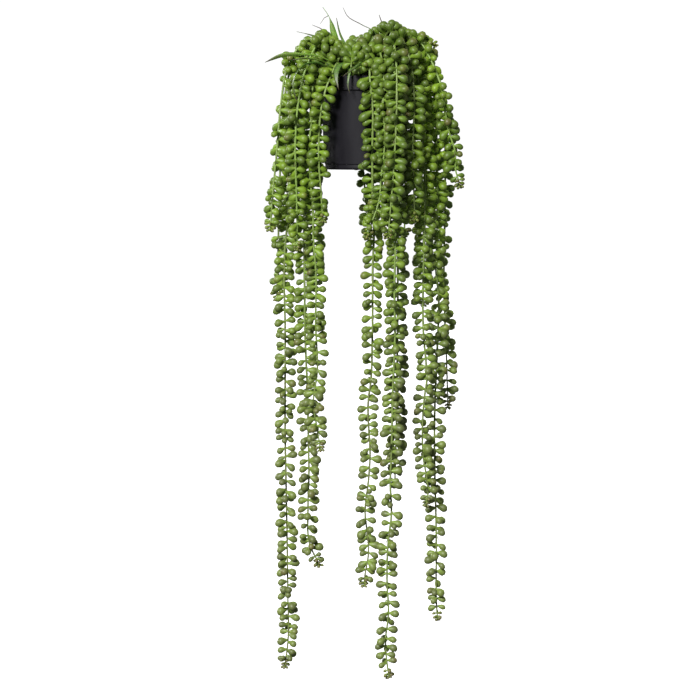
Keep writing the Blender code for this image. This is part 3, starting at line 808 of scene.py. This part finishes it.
def leaf_way(side, normal, angle, droop):
    """A unit vector out of the stem at an angle round it, lowered by the droop."""
    out = side * math.cos(angle) + normal * math.sin(angle)
    way = out * math.cos(droop) + DOWN * math.sin(droop)
    return way / np.linalg.norm(way)


def clearest_way(node, tangent, leaf, turn, hanging, head_at):
    """Room, way and head of the first way drawn that is clear, or of the clearest. The first two
    leaves of a whorl are on opposite sides, and a third stands at the whorl's turn."""
    side, normal = stem_sides(tangent)
    spread, droops = (HANGING_SPREAD, HANGING_DROOP) if hanging else (CROWN_SPREAD, CROWN_DROOP)
    best = (-FAR_OFF, None, None)
    for _ in range(TRIES):
        angle = leaf * np.pi + draw.normal(0.0, spread)
        if leaf == 2:
            angle = turn + draw.uniform(-THIRD_SPREAD, THIRD_SPREAD)
        way = leaf_way(side, normal, angle, draw.normal(*droops))
        head = node + way * head_at
        beside_pot = pot_clearance(head) - POT_MARGIN
        room = min(taken.clearance(head), beside_pot, outline_room(head, node))
        if room > best[0]:
            best = (room, way, head)
        if room > HEAD_GAP:
            break
    return best


print("sides of a hanging stem:", stem_sides(DOWN))

# %% [markdown]
# ## Leaves along a stem
#
# Leaves grow in loose whorls of two or three. Even steps would look like a ladder, so the whorls
# keep uneven distances and each leaf slides a little along the stem too. Leaves are larger in the
# crown and shrink towards the tip. Where no way is clear enough, the leaf is left out. Each leaf
# becomes a row of ten numbers: root, way, size, sag, and factors for its length and thickness.

# %% Leaves along a stem
# Columns of a row, then sizes as factors, and distances in millimetres.
ROOT, WAY = slice(0, 3), slice(3, 6)
SIZE, SAG, REACH, THICKNESS = 6, 7, 8, 9
CROWN_SIZE = 1.16
UPPER_SIZE = 1.06
UPPER_FLOOR = -115.0
SIZE_DRAWN = (0.84, 1.16)
SAG_DRAWN = (0.02, 0.13)
PITCH_DRAWN = (0.76, 1.28)
TURN_DRAWN = 0.9
SLIDE = 2.0
SLOPE_OVER = 2.0
HANGING_SLOPE = 0.8
HEAD_AT = 0.72
HEAD_RADIUS = 2.65
HEAD_LEAST = 1.6
CROWN_LEAST = 0.9
TIP_STRETCH = 15.0
TIP_SCALE = 0.5
TIP_BARE = 4.0


def leaf_rows(path, along, bare, pitch, third, upper_reach):
    """Rows for a stem from its bare foot to its tip. A whorl follows the last at the pitch times
    the root of the scale, and the scale falls in a straight line over the last stretch."""
    end = along[-1]
    distance = bare
    rows = []
    turn = draw.uniform(0.0, 2.0 * np.pi)
    while distance < end - TIP_BARE:
        upper = along_path(path, along, distance)[2] > UPPER_FLOOR
        ahead = along_path(path, along, distance + SLOPE_OVER)
        tangent = unit(ahead - along_path(path, along, distance - SLOPE_OVER))
        hanging = -tangent[2] > HANGING_SLOPE
        scale = min(1.0, TIP_SCALE + (1.0 - TIP_SCALE) * (end - distance) / TIP_STRETCH)
        count = 2 + int(draw.random() < third)
        turn += draw.normal(0.0, TURN_DRAWN)
        for leaf in range(count):
            size = scale * draw.uniform(*SIZE_DRAWN)
            if not hanging:
                size *= CROWN_SIZE
            elif upper:
                size *= UPPER_SIZE
            reach = draw.uniform(1.0, upper_reach) if upper else 1.0
            node = along_path(path, along, min(distance + draw.uniform(-SLIDE, SLIDE), end))
            head_at = LEAF_LENGTH * size * reach * HEAD_AT
            room, way, head = clearest_way(node, tangent, leaf, turn, hanging, head_at)
            if room > (HEAD_LEAST if hanging else CROWN_LEAST):
                taken.add(head, HEAD_RADIUS * size)
                rows.append((*node, *way, size, draw.uniform(*SAG_DRAWN), reach, 1.0))
        distance += pitch * scale**0.5 * draw.uniform(*PITCH_DRAWN)
    return np.array(rows)


print("a head is a ball of", 2.0 * HEAD_RADIUS, "mm at", HEAD_AT, "of a leaf")

# %% [markdown]
# ## Tufts and dry threads
#
# A stem ends in a tuft of tiny new leaves, and here and there a dry thread of a bract is left on
# it. Both could have a shape of their own. At their size the pear does as well, small for the
# tuft and a fifth as thick for the thread, so they are only more rows.

# %% Tufts and bracts
TUFT_RINGS = ((0.0, 0.8, 4, 0.44), (2.4, 0.4, 4, 0.52), (5.2, 0.1, 3, 0.58))
# A direction that no tip points in: the first side is square to it and to the tip.
TUFT_START = (0.31, 0.92, 0.22)
TUFT_JITTER = 0.25
TUFT_SIZES = (0.8, 1.2)
TUFT_SAG = 0.05
BRACT_FROM = 60.0
BRACT_EVERY = 110.0
BRACT_BEFORE_TIP = 20.0
BRACT_LAST = 10.0
BRACT_FALL = -1.2
BRACT_SIZE, BRACT_SAG, BRACT_THICKNESS = 0.6, 0.35, 0.2


def tuft(path):
    """Rings of tiny leaves at a tip. Each ring has its distance back from the tip, its lean
    forwards, its count and its size, and its leaves stand at even angles, a little off."""
    tip = path[-1]
    tangent = unit(path[-1] - path[-3])
    side = unit(np.cross(tangent, TUFT_START))
    normal = np.cross(tangent, side)
    rows = []
    for back, lean, count, size in TUFT_RINGS:
        for k in range(count):
            angle = 2.0 * np.pi * (k + draw.uniform(-TUFT_JITTER, TUFT_JITTER)) / count + back
            out = side * math.cos(angle) + normal * math.sin(angle)
            way = unit(out + tangent * lean)
            scale = size * draw.uniform(*TUFT_SIZES)
            rows.append((*(tip - tangent * back), *way, scale, TUFT_SAG, 1.0, 1.0))
    return np.array(rows)


def bracts(path, along):
    """Thin threads at even distances, shifted by one draw, that hang off the stem."""
    rows = []
    start = np.arange(BRACT_FROM, along[-1] - BRACT_BEFORE_TIP, BRACT_EVERY)
    for distance in start + draw.uniform(0.0, BRACT_FROM):
        place = along_path(path, along, min(distance, along[-1] - BRACT_LAST))
        turn = draw.uniform(0.0, 2.0 * np.pi)
        way = unit(np.array([math.cos(turn), math.sin(turn), BRACT_FALL]))
        rows.append((*place, *way, BRACT_SIZE, BRACT_SAG, 1.0, BRACT_THICKNESS))
    return np.array(rows)


print("a tuft:", sum(ring[2] for ring in TUFT_RINGS), "tiny leaves")

# %% [markdown]
# ## Stems
#
# A stem is a thin round cord. A curve object with a bevel would do, but its mesh couldn't be
# joined with the leaves as an array. So it is a tube on the smooth path, with six sides, which is
# enough for something two millimetres thick.

# %% Tubes
STEM_SIDES = 6
STEM_RING_STEP = 4.0
LEAST_RINGS = 6
STEM_TIP_RADIUS = 0.8
# A direction that no tube starts in: the first side is square to it and to the tube.
SIDE_START = (0.3, 0.9, 0.1)


def frames(places):
    """Side and normal at each place, carried along the tangents so that they never spin."""
    tangent = unit(np.gradient(places, axis=0))
    side = np.empty_like(tangent)
    last = np.cross(tangent[0], SIDE_START)
    for i, direction in enumerate(tangent):
        last = last - direction * last.dot(direction)
        last = last / np.linalg.norm(last)
        side[i] = last
    return side, np.cross(tangent, side)


def tube(path, along, radius_of, sides):
    """Points round a path, ring by ring, then its two ends: the place plus side times cosine plus
    normal times sine, times the radius, which is a function of the share of the length."""
    rings = max(LEAST_RINGS, int(along[-1] / STEM_RING_STEP))
    where = np.linspace(0.0, along[-1], rings)
    places = along_path(path, along, where)
    side, normal = frames(places)
    angle = np.arange(sides) * 2.0 * np.pi / sides
    radius = radius_of(where / along[-1])[:, None, None]
    cosine, sine = np.cos(angle)[None, :, None], np.sin(angle)[None, :, None]
    grid = places[:, None] + (side[:, None] * cosine + normal[:, None] * sine) * radius
    return np.concatenate([grid.reshape(-1, 3), places[[0, -1]]]), closed_grid(rings, sides)


def stem_radius(share):
    """Half thickness of a stem: it thins with the cube of the share, so mostly at the tip."""
    return STEM_RADIUS + (STEM_TIP_RADIUS - STEM_RADIUS) * share**3


print("stem thickness:", 2.0 * stem_radius(0.0), "to", 2.0 * stem_radius(1.0), "mm")

# %% [markdown]
# ## Each leaf's colour, with painted shade and light
#
# No two leaves are the same green, so each draws how deep its green is, and a few draw a blush.
# Seen from the front the upper leaves are painted deeper right of the middle, lighter further
# out and deeper again at the edge, and two strands at the front on the right deeper still: this
# is painted shade and painted light for how the light from the front left falls among the
# strands. Painting that on the whole plant would also tint the stems, so a number that depends
# on the leaf's place from left to right is added to what the leaf drew.

# %% Leaf tones
# Places from left to right in millimetres, and what is added there to the number a leaf drew:
# more is painted shade, less is painted light. Two strands get a little more painted shade.
PAINTED_SHADING_AT = ((-40.0, 8.0, 40.0, 52.0, 60.0, 73.0, 79.0),
             (0.08, 0.44, 0.52, 0.30, -0.50, -0.50, 0.65))
PAINTED_SHADE_BY_STEM = {"stem_right_3": 0.1, "stem_right_10": 0.1}
BLUSHING = 0.07
BLUSH_DRAWN = (0.5, 1.0)
# Over 1, so that no draw comes near: tufts are brownish, and threads are dry throughout.
TUFT_BLUSH = 1.1
BRACT_BLUSH = 1.6
NECK_IS_STEM = 8.0


def leaf_tones(name, rows, tuft_from, bracts_from):
    """The tone of every point of a strand's leaves. A leaf passes from the stem's colour to its own
    over the first eighth of its length."""
    upper = rows[:, 2] > UPPER_FLOOR
    # Painted shade and painted light by the leaf's place from left to right, and for two strands.
    painted_shading = upper * (np.interp(rows[:, 0], *PAINTED_SHADING_AT) + PAINTED_SHADE_BY_STEM.get(name, 0.0))
    chance_and_painted_shading = np.clip(draw.random(len(rows)) + painted_shading, 0.0, 1.0)
    blushes = draw.random(len(rows)) < BLUSHING
    blush = np.where(blushes, draw.uniform(*BLUSH_DRAWN, len(rows)), 0.0)
    blush[tuft_from:bracts_from] = TUFT_BLUSH
    blush[bracts_from:] = BRACT_BLUSH
    share = np.tile(PEARL[:, 0], len(rows))
    return np.stack([
        np.clip(share * NECK_IS_STEM, 0.0, 1.0), share,
        np.repeat(chance_and_painted_shading, len(PEARL)), np.repeat(blush, len(PEARL)),
    ], axis=-1)


print("share of leaves that blush:", BLUSHING)

# %% [markdown]
# ## Strands
#
# A strand is one stem with its leaves, and it is one mesh, so that one object replaces one node
# of the frame. Small leaves are thinner than their size says, so thickness follows a power of the
# size. Stems of some length have bracts. Sprigs end hidden in the crown, except for one at the
# right, so only that one has a tuft. The upper leaves of one stem before the pot are drawn up to
# 28% longer, because they cover more there in the picture.

# %% A strand
FULLNESS = (1.15, 1.9)
THINNING = 1.35
THICKNESS_DRAWN = (0.92, 1.12)
STEM_BLUSH = (0.0, 0.5)
TUFT_SPRIGS = {"sprig_6"}
BRACT_STEM = 90.0
UPPER_REACH = {"stem_right_2": 1.28}


def strand(name, route, bare, pitch, third):
    """One stem with all its leaves, in place of the node of the same name."""
    path, along = smooth_path(route)
    stem_points, stem_faces = tube(path, along, stem_radius, STEM_SIDES)
    rows = leaf_rows(path, along, bare, pitch, third, UPPER_REACH.get(name, 1.0))
    tuft_from = len(rows)
    if name not in SPRIGS or name in TUFT_SPRIGS:
        rows = np.concatenate([rows, tuft(path)])
    bracts_from = len(rows)
    if name in HANGING_STEMS and along[-1] > BRACT_STEM:
        rows = np.concatenate([rows, bracts(path, along)])
    sizes = rows[:, SIZE]
    thickness = draw.uniform(*THICKNESS_DRAWN, len(rows))
    points, faces = leaves_mesh(
        rows[:, ROOT], rows[:, WAY], LEAF_LENGTH * sizes * rows[:, REACH],
        LEAF_RADIUS * np.minimum(sizes, sizes**THINNING) * thickness * rows[:, THICKNESS],
        rows[:, SAG], draw.uniform(*FULLNESS, len(rows)),
    )
    tones = leaf_tones(name, rows, tuft_from, bracts_from)
    stem_tone = np.zeros((len(stem_points), 4))
    stem_tone[:, 3] = draw.uniform(*STEM_BLUSH)
    made = add_mesh(
        f"pearls_{name}",
        np.concatenate([stem_points, points]),
        stem_faces + [part + len(stem_points) for part in faces],
        np.concatenate([stem_tone, tones]),
        leaf_finish.material,
    )
    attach(made, "root")
    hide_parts(name)
    return bracts_from


print("a leaf of half size is", round(0.5**THINNING, 2), "as thick")

# %% All strands
HANGING_BARE, HANGING_PITCH, HANGING_THIRD = 22.0, 7.9, 0.65
SPRIG_BARE, SPRIG_PITCH, SPRIG_THIRD = 20.0, 5.2, 1.0

leaf_count = 0
for name, route in HANGING_STEMS.items():
    leaf_count += strand(name, route, HANGING_BARE, HANGING_PITCH, HANGING_THIRD)
for name, route in SPRIGS.items():
    leaf_count += strand(name, route, SPRIG_BARE, SPRIG_PITCH, SPRIG_THIRD)
print("strands:", len(HANGING_STEMS) + len(SPRIGS), "with", leaf_count, "leaves")

# %% [markdown]
# ## Grass finish
#
# Grass is darker and less waxy than the pearls, pale along its rib and brown at its tip, and fine
# veins run down it. Each blade could have its own material. One is enough, because the tone
# attribute carries how deep a blade's green is and how dry its tip. Two blades whose seen face
# turns down, away from the light, are given the lightest green: painted light.

# %% Blade finish
BLADE_GREEN = (0.050, 0.125, 0.024, 1.0)
BLADE_LIGHT = (0.220, 0.370, 0.050, 1.0)
BLADE_DRY = (0.060, 0.038, 0.028, 1.0)
GREEN_RIB, GREEN_VEIN, GREEN_LESS = 0.3, 0.4, 0.25
DRY_POWER, DRY_LEAST = 5.0, 0.6

blade_finish = Finish(
    "grass_blade", 0.45, Subsurface_Weight=0.35, Subsurface_Scale=0.002,
    Subsurface_Radius=(0.5, 1.0, 0.2),
)
from_rib, along, deepness_and_painted_light, dryness = blade_finish.tone()
vein = blade_finish.noise(scale=700.0, detail=2.0, stretch=(1.0, 1.0, 0.12))
green = (from_rib * GREEN_RIB + vein * GREEN_VEIN + deepness_and_painted_light - GREEN_LESS).clamped()
dry = ((along ** DRY_POWER) * (DRY_LEAST + dryness)).clamped()
blade_finish.set("Base Color", dry.mix(green.mix(BLADE_LIGHT, BLADE_GREEN), BLADE_DRY))
blade_finish.rough(vein, least=0.38, more=0.2)
blade_finish.bump(vein, strength=0.2, distance=0.0003)
print("blade finish:", len(blade_finish.tree.nodes), "nodes")

# %% [markdown]
# ## Grass blades
#
# A few grass blades stand between the stems. A flat strip would look like paper: a real blade is
# folded a little along its rib, swells past its middle and ends in a fine point. So its section is
# a thin V, carried along the path, and its breadth follows a power of a sine.

# %% Blade breadth
BLADE_ROOT_WIDTH = 1.2
BLADE_TIP_WIDTH = 0.6
SWELLING = {"grass_blade_1": 3.3, "grass_blade_5": 3.4, "grass_blade_6": 3.4}
USUAL_SWELLING = 1.45
SWELLING_POWER = 1.3
# The share of the length at which a blade has thinned to a hair.
HAIR_FROM = {"grass_blade_1": 0.86, "grass_blade_4": 0.93}


def blade_width(share, width, swelling):
    """Breadth of a blade: a thin stalk, a swelling and a fine point. It is a sine of the share of
    the length to the power of the swelling; a higher power puts the widest place nearer to the
    tip. A share over 1 is the hair that some blades end in."""
    share = np.minimum(share, 1.0)
    least = BLADE_ROOT_WIDTH + (BLADE_TIP_WIDTH - BLADE_ROOT_WIDTH) * share
    return least + (width - least) * np.sin(np.pi * share**swelling) ** SWELLING_POWER


trial = blade_width(np.linspace(0.0, 1.0, 5), GRASS_BLADES["grass_blade_1"][0], USUAL_SWELLING)
print("a blade's breadth:", trial.round(1), "mm")

# %% A blade
BLADE_STEP = 3.0
BLADE_THICKNESS = 0.65
BLADE_KEEL = 0.22
THINNEST = 0.3
# Places across the half breadth, once over the upper side and back underneath.
SECTION = np.array([-1.0, -0.5, 0.0, 0.5, 1.0, 0.5, 0.0, -0.5])
SECTION_LIFT = np.array([0.0, 1.0, 1.0, 1.0, 0.0, -1.0, -1.0, -1.0]) * 0.5 * BLADE_THICKNESS
# Blades 5 and 6 get the lightest green as painted light: their seen face turns down into shade.
DEEPNESS_AND_PAINTED_LIGHT = {
    "grass_blade_1": 0.1, "grass_blade_5": 0.0, "grass_blade_6": 0.0, "grass_blade_9": 0.65,
}
USUAL_DEEPNESS = 0.6
DRY_BLADES = {"grass_blade_3", "grass_blade_7", "grass_blade_8"}
DRYNESS, USUAL_DRYNESS = 2.5, 0.5


def blade(name, width, across, route):
    """A V section carried along the path: the place, plus side times half breadth, minus normal
    times the keel, which is deepest under the rib. The upper side is lifted by the thickness."""
    path, along = smooth_path(route)
    count = int(along[-1] / BLADE_STEP)
    share = np.linspace(0.0, 1.0, count)
    places = along_path(path, along, share * along[-1])
    tangent = unit(np.gradient(places, axis=0))
    wide = np.array(across, dtype=float)
    side = unit(wide - tangent * (tangent @ wide)[:, None])
    normal = np.cross(tangent, side)
    swelling = SWELLING.get(name, USUAL_SWELLING)
    hair = HAIR_FROM.get(name, 1.0)
    breadth = (0.5 * blade_width(share / hair, width, swelling))[:, None]
    keel = BLADE_KEEL * breadth * (1.0 - np.abs(SECTION))[None, :]
    thin = np.clip(breadth / (0.5 * BLADE_ROOT_WIDTH), THINNEST, 1.0)
    grid = (
        places[:, None]
        + side[:, None] * (breadth * SECTION[None, :])[..., None]
        - normal[:, None] * (keel - SECTION_LIFT[None, :] * thin)[..., None]
    )
    tone = np.empty((count, len(SECTION), 4))
    tone[..., 0] = np.abs(SECTION)[None, :]
    tone[..., 1] = share[:, None]
    tone[..., 2] = DEEPNESS_AND_PAINTED_LIGHT.get(name, USUAL_DEEPNESS)
    tone[..., 3] = DRYNESS if name in DRY_BLADES else USUAL_DRYNESS
    points = np.concatenate([grid.reshape(-1, 3), places[[0, -1]]])
    tone = np.concatenate([tone.reshape(-1, 4), tone[[0, -1], 0]])
    faces = [part[:, ::-1] for part in closed_grid(count, len(SECTION))]
    made = add_mesh(f"leaf_{name}", points, faces, tone, blade_finish.material)
    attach(made, "root")
    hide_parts(name)


for name, values in GRASS_BLADES.items():
    blade(name, *values)
print("blades:", len(GRASS_BLADES))

# %% [markdown]
# ## The second hair
#
# The tallest blade splits at its tip into two hairs. The blade's own shape ends in one of them.
# The other is too thin for a ribbon with a fold, so it is a short tube that thins to its end.

# %% Fork
FORK = [(-36.5, -19.5, 73.5), (-40.5, -19.5, 71.5), (-44.5, -19.5, 65.5)]
FORK_RADIUS = 0.4
FORK_TAPER = 0.5

fork_path = np.array(FORK)
fork_steps = np.linalg.norm(np.diff(fork_path, axis=0), axis=1)
fork_along = np.concatenate([[0.0], np.cumsum(fork_steps)])
fork_points, fork_faces = tube(
    fork_path, fork_along, lambda share: FORK_RADIUS * (1.0 - FORK_TAPER * share), STEM_SIDES
)
fork_tone = np.ones((len(fork_points), 4))
fork = add_mesh("leaf_fork", fork_points, fork_faces, fork_tone, blade_finish.material)
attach(fork, "root")
print("fork:", round(fork_along[-1], 1), "mm long")

# %% [markdown]
# ## Pot finish
#
# The pot is moulded plastic: near black with a satin sheen, a trace of dust and a fine grain.
# Plain black would look like a hole in the picture. The dust comes from noise drawn out along the
# height, and the grain, which is too fine to be geometry, is left to the bump.

# %% Pot finish
POT_BLACK = (0.0070, 0.0062, 0.0090, 1.0)
POT_DUST = (0.0120, 0.0112, 0.0150, 1.0)

pot_finish = Finish("pot_plastic", 0.5, Specular_IOR_Level=0.25)
scuff = pot_finish.noise(scale=90.0, detail=5.0, stretch=(1.0, 1.0, 0.35))
grain = pot_finish.noise(scale=2400.0, detail=2.0)
dust = scuff.spread(above=0.45, times=1.6)
pot_finish.set("Base Color", dust.mix(POT_BLACK, POT_DUST))
pot_finish.rough(scuff, least=0.36, more=0.24)
pot_finish.bump(grain, strength=0.06, distance=0.0002)
print("pot finish:", len(pot_finish.tree.nodes), "nodes")

# %% [markdown]
# ## The pot
#
# The pot is a turned shape: one profile carried round. A Bevel modifier could round its edges
# afterwards, but here each corner of the profile becomes a small parabola first, because rounded
# edges catch the light as moulded plastic does, and each can then have its own size.

# %% Turned shapes
SUPPORT = 1.5
CORNER_STEPS = 5


def rounded(profile):
    """A profile with each corner (radius, height, rounding) replaced by a parabola, and a point on
    either side of it, so that smooth shading bends there only."""
    points = []
    corners = np.array(profile, dtype=float)
    for i, (x, z, r) in enumerate(corners):
        if r == 0.0 or i in (0, len(corners) - 1):
            points.append((x, z))
            continue
        here = corners[i, :2]
        before = here + unit(corners[i - 1, :2] - here) * r
        after = here + unit(corners[i + 1, :2] - here) * r
        points.append(tuple(here + (before - here) * SUPPORT))
        for s in np.linspace(0.0, 1.0, CORNER_STEPS):
            points.append(tuple((1 - s) ** 2 * before + 2 * s * (1 - s) * here + s**2 * after))
        points.append(tuple(here + (after - here) * SUPPORT))
    return np.array(points)


def turned(name, profile, sides, finish):
    """A profile from pole to pole carried round Z: radius times cosine and sine of the angle."""
    angle = np.arange(sides) * 2.0 * np.pi / sides
    inner = profile[1:-1]
    radius, height = inner[:, :1], inner[:, 1:]
    grid = np.stack(
        [radius * np.cos(angle), radius * np.sin(angle), height * np.ones(sides)], axis=-1
    )
    ends = np.array([[0.0, 0.0, profile[0, 1]], [0.0, 0.0, profile[-1, 1]]])
    points = np.concatenate([grid.reshape(-1, 3), ends])
    faces = [part[:, ::-1] for part in closed_grid(len(inner), sides)]
    return add_mesh(name, points, faces, np.ones((len(points), 4)), finish)


print("a corner:", CORNER_STEPS + 2, "points")

# %% Pot
POT_FLOOR = 2.0
FOOT_HEIGHT = 5.5
FOOT_STEP = 0.6
POT_SIDES = 128

foot_top = BASE_Z + FOOT_HEIGHT
foot = wall_radius(foot_top) - FOOT_STEP
inner_rim = RIM_RADIUS - WALL
pot_profile = rounded([
    (0.0, BASE_Z + POT_FLOOR, 0.0), (foot - WALL, BASE_Z + POT_FLOOR, 1.5),
    (SEAT_RADIUS - WALL, -WALL, 0.6), (inner_rim, WALL, 0.6), (inner_rim, RIM_TOP, 0.5),
    (RIM_RADIUS, RIM_TOP, 0.5), (RIM_RADIUS, 0.0, 0.4), (SEAT_RADIUS, 0.0, 0.4),
    (wall_radius(foot_top), foot_top, 0.4), (foot, foot_top - FOOT_STEP, 0.2),
    (foot, BASE_Z, 2.0), (0.0, BASE_Z, 0.0),
])
pot = turned("nursery_pot", pot_profile, POT_SIDES, pot_finish.material)
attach(pot, "root")
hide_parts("pot")
print("pot:", len(pot.data.polygons), "faces")

# %% [markdown]
# ## Soil finish
#
# Potting soil is dark and dull, with paler flakes of bark. A photograph of soil could be laid on
# it, but noise of two sizes does as well: the larger picks out the flakes, the smaller roughens
# them.

# %% Soil finish
SOIL_DARK = (0.022, 0.014, 0.009, 1.0)
SOIL_LIGHT = (0.095, 0.060, 0.036, 1.0)

soil_finish = Finish("potting_soil", 0.95)
flake = soil_finish.noise(scale=380.0, detail=6.0)
speck = soil_finish.noise(scale=1500.0, detail=3.0)
pale = flake.spread(above=0.35, times=1.9)
soil_finish.set("Base Color", pale.mix(SOIL_DARK, SOIL_LIGHT))
soil_finish.rough(speck, least=0.8, more=0.18)
soil_finish.bump(speck, strength=0.6, distance=0.0006)
print("soil finish:", len(soil_finish.tree.nodes), "nodes")

# %% [markdown]
# ## The soil
#
# Potting soil is crumbs, not a smooth dome. A bump in the finish would vanish at the edge, so the
# crumbs are real bumps: the dome's height gets four crossed waves of different breadth. Below its
# edge the soil goes down inside the pot to the floor, a little clear of the wall, as it does in
# the frame.

# %% Crumbs
CRUMB_WAVES = ((5.3, 0.5), (3.1, 0.45), (1.9, 0.35), (1.2, 0.25))
FIRST_TURN, TURN_STEP = 1.1, 1.7
CROSS_STRETCH = 1.13
# How far each sine is bent, and how quickly the bend comes and goes.
ALONG_BEND, ALONG_PACE = 1.7, 0.6
CROSS_BEND, CROSS_PACE = 1.3, 0.5


def crumbs(x, y):
    """Sum of sines in turned directions, each wave with its breadth and height. Each sine is bent
    by the other, and their product has its sign dropped, so that crumbs stand up from clefts."""
    waves = np.zeros_like(x)
    for k, (breadth, tall) in enumerate(CRUMB_WAVES):
        turn = FIRST_TURN + TURN_STEP * k
        cross = breadth * CROSS_STRETCH
        a = (x * math.cos(turn) + y * math.sin(turn)) * 2.0 * math.pi / breadth
        b = (y * math.cos(turn) - x * math.sin(turn)) * 2.0 * math.pi / cross
        along = np.sin(a + ALONG_BEND * np.sin(b * ALONG_PACE))
        across = np.sin(b + CROSS_BEND * np.sin(a * CROSS_PACE))
        waves += tall * np.abs(along * across)
    return waves


print("crumbs: up to", round(sum(tall for _, tall in CRUMB_WAVES), 2), "mm high")

# %% Soil
SOIL_RINGS = 90
SOIL_SIDES = 220
SOIL_GAP = 0.3
SOIL_CORNER = 2.0
FIRST_RING = 0.4
CRUMBS_SUNK = 0.5

soil_edge = RIM_RADIUS - WALL - SOIL_GAP
soil_foot = foot - WALL - SOIL_GAP
soil_floor = BASE_Z + POT_FLOOR + SOIL_GAP
below = np.array([
    (soil_edge, WALL + SOIL_GAP), (SEAT_RADIUS - WALL - SOIL_GAP, SOIL_GAP - WALL),
    (soil_foot, soil_floor + SOIL_CORNER), (soil_foot - SOIL_CORNER, soil_floor),
])
radius = np.linspace(FIRST_RING, soil_edge, SOIL_RINGS)
angle = np.arange(SOIL_SIDES) * 2.0 * np.pi / SOIL_SIDES
soil_x = radius[:, None] * np.cos(angle)
soil_y = radius[:, None] * np.sin(angle)
soil_z = soil_height(soil_x, soil_y) + crumbs(soil_x, soil_y) - CRUMBS_SUNK
dome = np.stack([soil_x, soil_y, soil_z], axis=-1)
fill = np.stack([
    below[:, :1] * np.cos(angle), below[:, :1] * np.sin(angle),
    below[:, 1:] * np.ones(SOIL_SIDES),
], axis=-1)
soil_ends = [[0.0, 0.0, soil_z[0].mean()], [0.0, 0.0, soil_floor]]
soil_points = np.concatenate([dome.reshape(-1, 3), fill.reshape(-1, 3), soil_ends])
soil_faces = [part[:, ::-1] for part in closed_grid(SOIL_RINGS + len(below), SOIL_SIDES)]
soil_tone = np.ones((len(soil_points), 4))
soil = add_mesh("potting_soil", soil_points, soil_faces, soil_tone, soil_finish.material)
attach(soil, "root")
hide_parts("soil")
print("soil:", len(soil.data.polygons), "faces")

# %% [markdown]
# ## Floor
#
# The plant hangs, so the floor is far below and only its pale plane shows in views from above. It
# doesn't bounce light back, or the shadows among the leaves would turn grey.

# %% Floor
FLOOR_Z = -1.3
FLOOR_SIZE = 60.0
FLOOR_GREYS = ((0.93, 0.93, 0.93, 1.0), (0.96, 0.96, 0.96, 1.0))

floor_finish = Finish(
    "pale_floor", 0.9, Emission_Color=(1.0, 1.0, 1.0, 1.0), Emission_Strength=0.25
)
shade = floor_finish.noise(scale=3.0, detail=2.0)
floor_finish.set("Base Color", shade.mix(*FLOOR_GREYS))
bpy.ops.mesh.primitive_plane_add(size=FLOOR_SIZE, location=(0.0, 0.0, FLOOR_Z))
floor = bpy.context.object
floor.name = "floor"
floor.data.materials.append(floor_finish.material)
floor.visible_diffuse = False
floor.visible_glossy = False
print("floor:", FLOOR_Z, "m")

# %% [markdown]
# ## Lights
#
# The plant is lit softly from the front left: leaves are bright on that side and nearly black
# behind the right-hand strands. A sun with a broad disc gives that, with a small panel for the
# soft upright band on the pot, and two more suns from behind, so that the back can be seen too.
# The one on the right would put white rims on the leaves' edges, as any gloss does at a slant, so
# it is left out of their gloss.

# %% Lights
SUN_BREADTH = math.radians(16)
# Each sun's name, its strength and the direction that its light comes from.
SUNS = (
    ("key", 4.6, Vector((-0.40, -0.90, 0.50))),
    ("rear", 4.6, Vector((0.62, 0.70, 0.35))),
    ("rear_left", 1.7, Vector((-0.85, 0.62, 0.30))),
)
PANEL_POWER = 1.9
PANEL_SIZE = 0.5
PANEL_PLACE = (-0.78, -2.2, 0.35)

for name, strength, source in SUNS:
    sun_data = bpy.data.lights.new(name, "SUN")
    sun_data.energy = strength
    sun_data.angle = SUN_BREADTH
    sun = bpy.data.objects.new(name, sun_data)
    sun.rotation_euler = source.to_track_quat("Z", "Y").to_euler()
    sun.visible_glossy = name != "rear"
    bpy.context.scene.collection.objects.link(sun)

panel_data = bpy.data.lights.new("front_panel", "AREA")
panel_data.energy = PANEL_POWER
panel_data.size = PANEL_SIZE
panel = bpy.data.objects.new("front_panel", panel_data)
panel.location = PANEL_PLACE
panel.rotation_euler = (panel.location - AIM).to_track_quat("Z", "Y").to_euler()
bpy.context.scene.collection.objects.link(panel)
print("lights:", len(SUNS), "suns and a panel")

# %% [markdown]
# ## Surround
#
# The surround is seen as plain near-white. If it lit the plant as brightly as it looks, there
# would be no dark places among the leaves. So the camera sees one background and the plant feels
# another, much dimmer and a little blue.

# %% Surround
SEEN_STRENGTH = 1.05
FELT_STRENGTH = 0.16
FELT_COLOUR = (0.93, 0.96, 1.0, 1.0)

world = bpy.data.worlds.new("surround")
world.use_nodes = True
for old in list(world.node_tree.nodes):
    world.node_tree.nodes.remove(old)
sky = Socket(world.node_tree, None)
seen = sky.node("ShaderNodeBackground", {}, Color=(1.0, 1.0, 1.0, 1.0), Strength=SEEN_STRENGTH)
felt = sky.node("ShaderNodeBackground", {}, Color=FELT_COLOUR, Strength=FELT_STRENGTH)
ray = sky.node("ShaderNodeLightPath")
both = sky.node("ShaderNodeMixShader")
result = sky.node("ShaderNodeOutputWorld")
world.node_tree.links.new(ray.outputs["Is Camera Ray"], both.inputs[0])
world.node_tree.links.new(felt.outputs[0], both.inputs[1])
world.node_tree.links.new(seen.outputs[0], both.inputs[2])
world.node_tree.links.new(both.outputs[0], result.inputs["Surface"])
bpy.context.scene.world = world
bpy.context.scene.view_settings.view_transform = "Standard"
print("surround:", len(world.node_tree.nodes), "nodes")

# %% [markdown]
# The dressed model has to keep to the frame's box within a few millimetres.
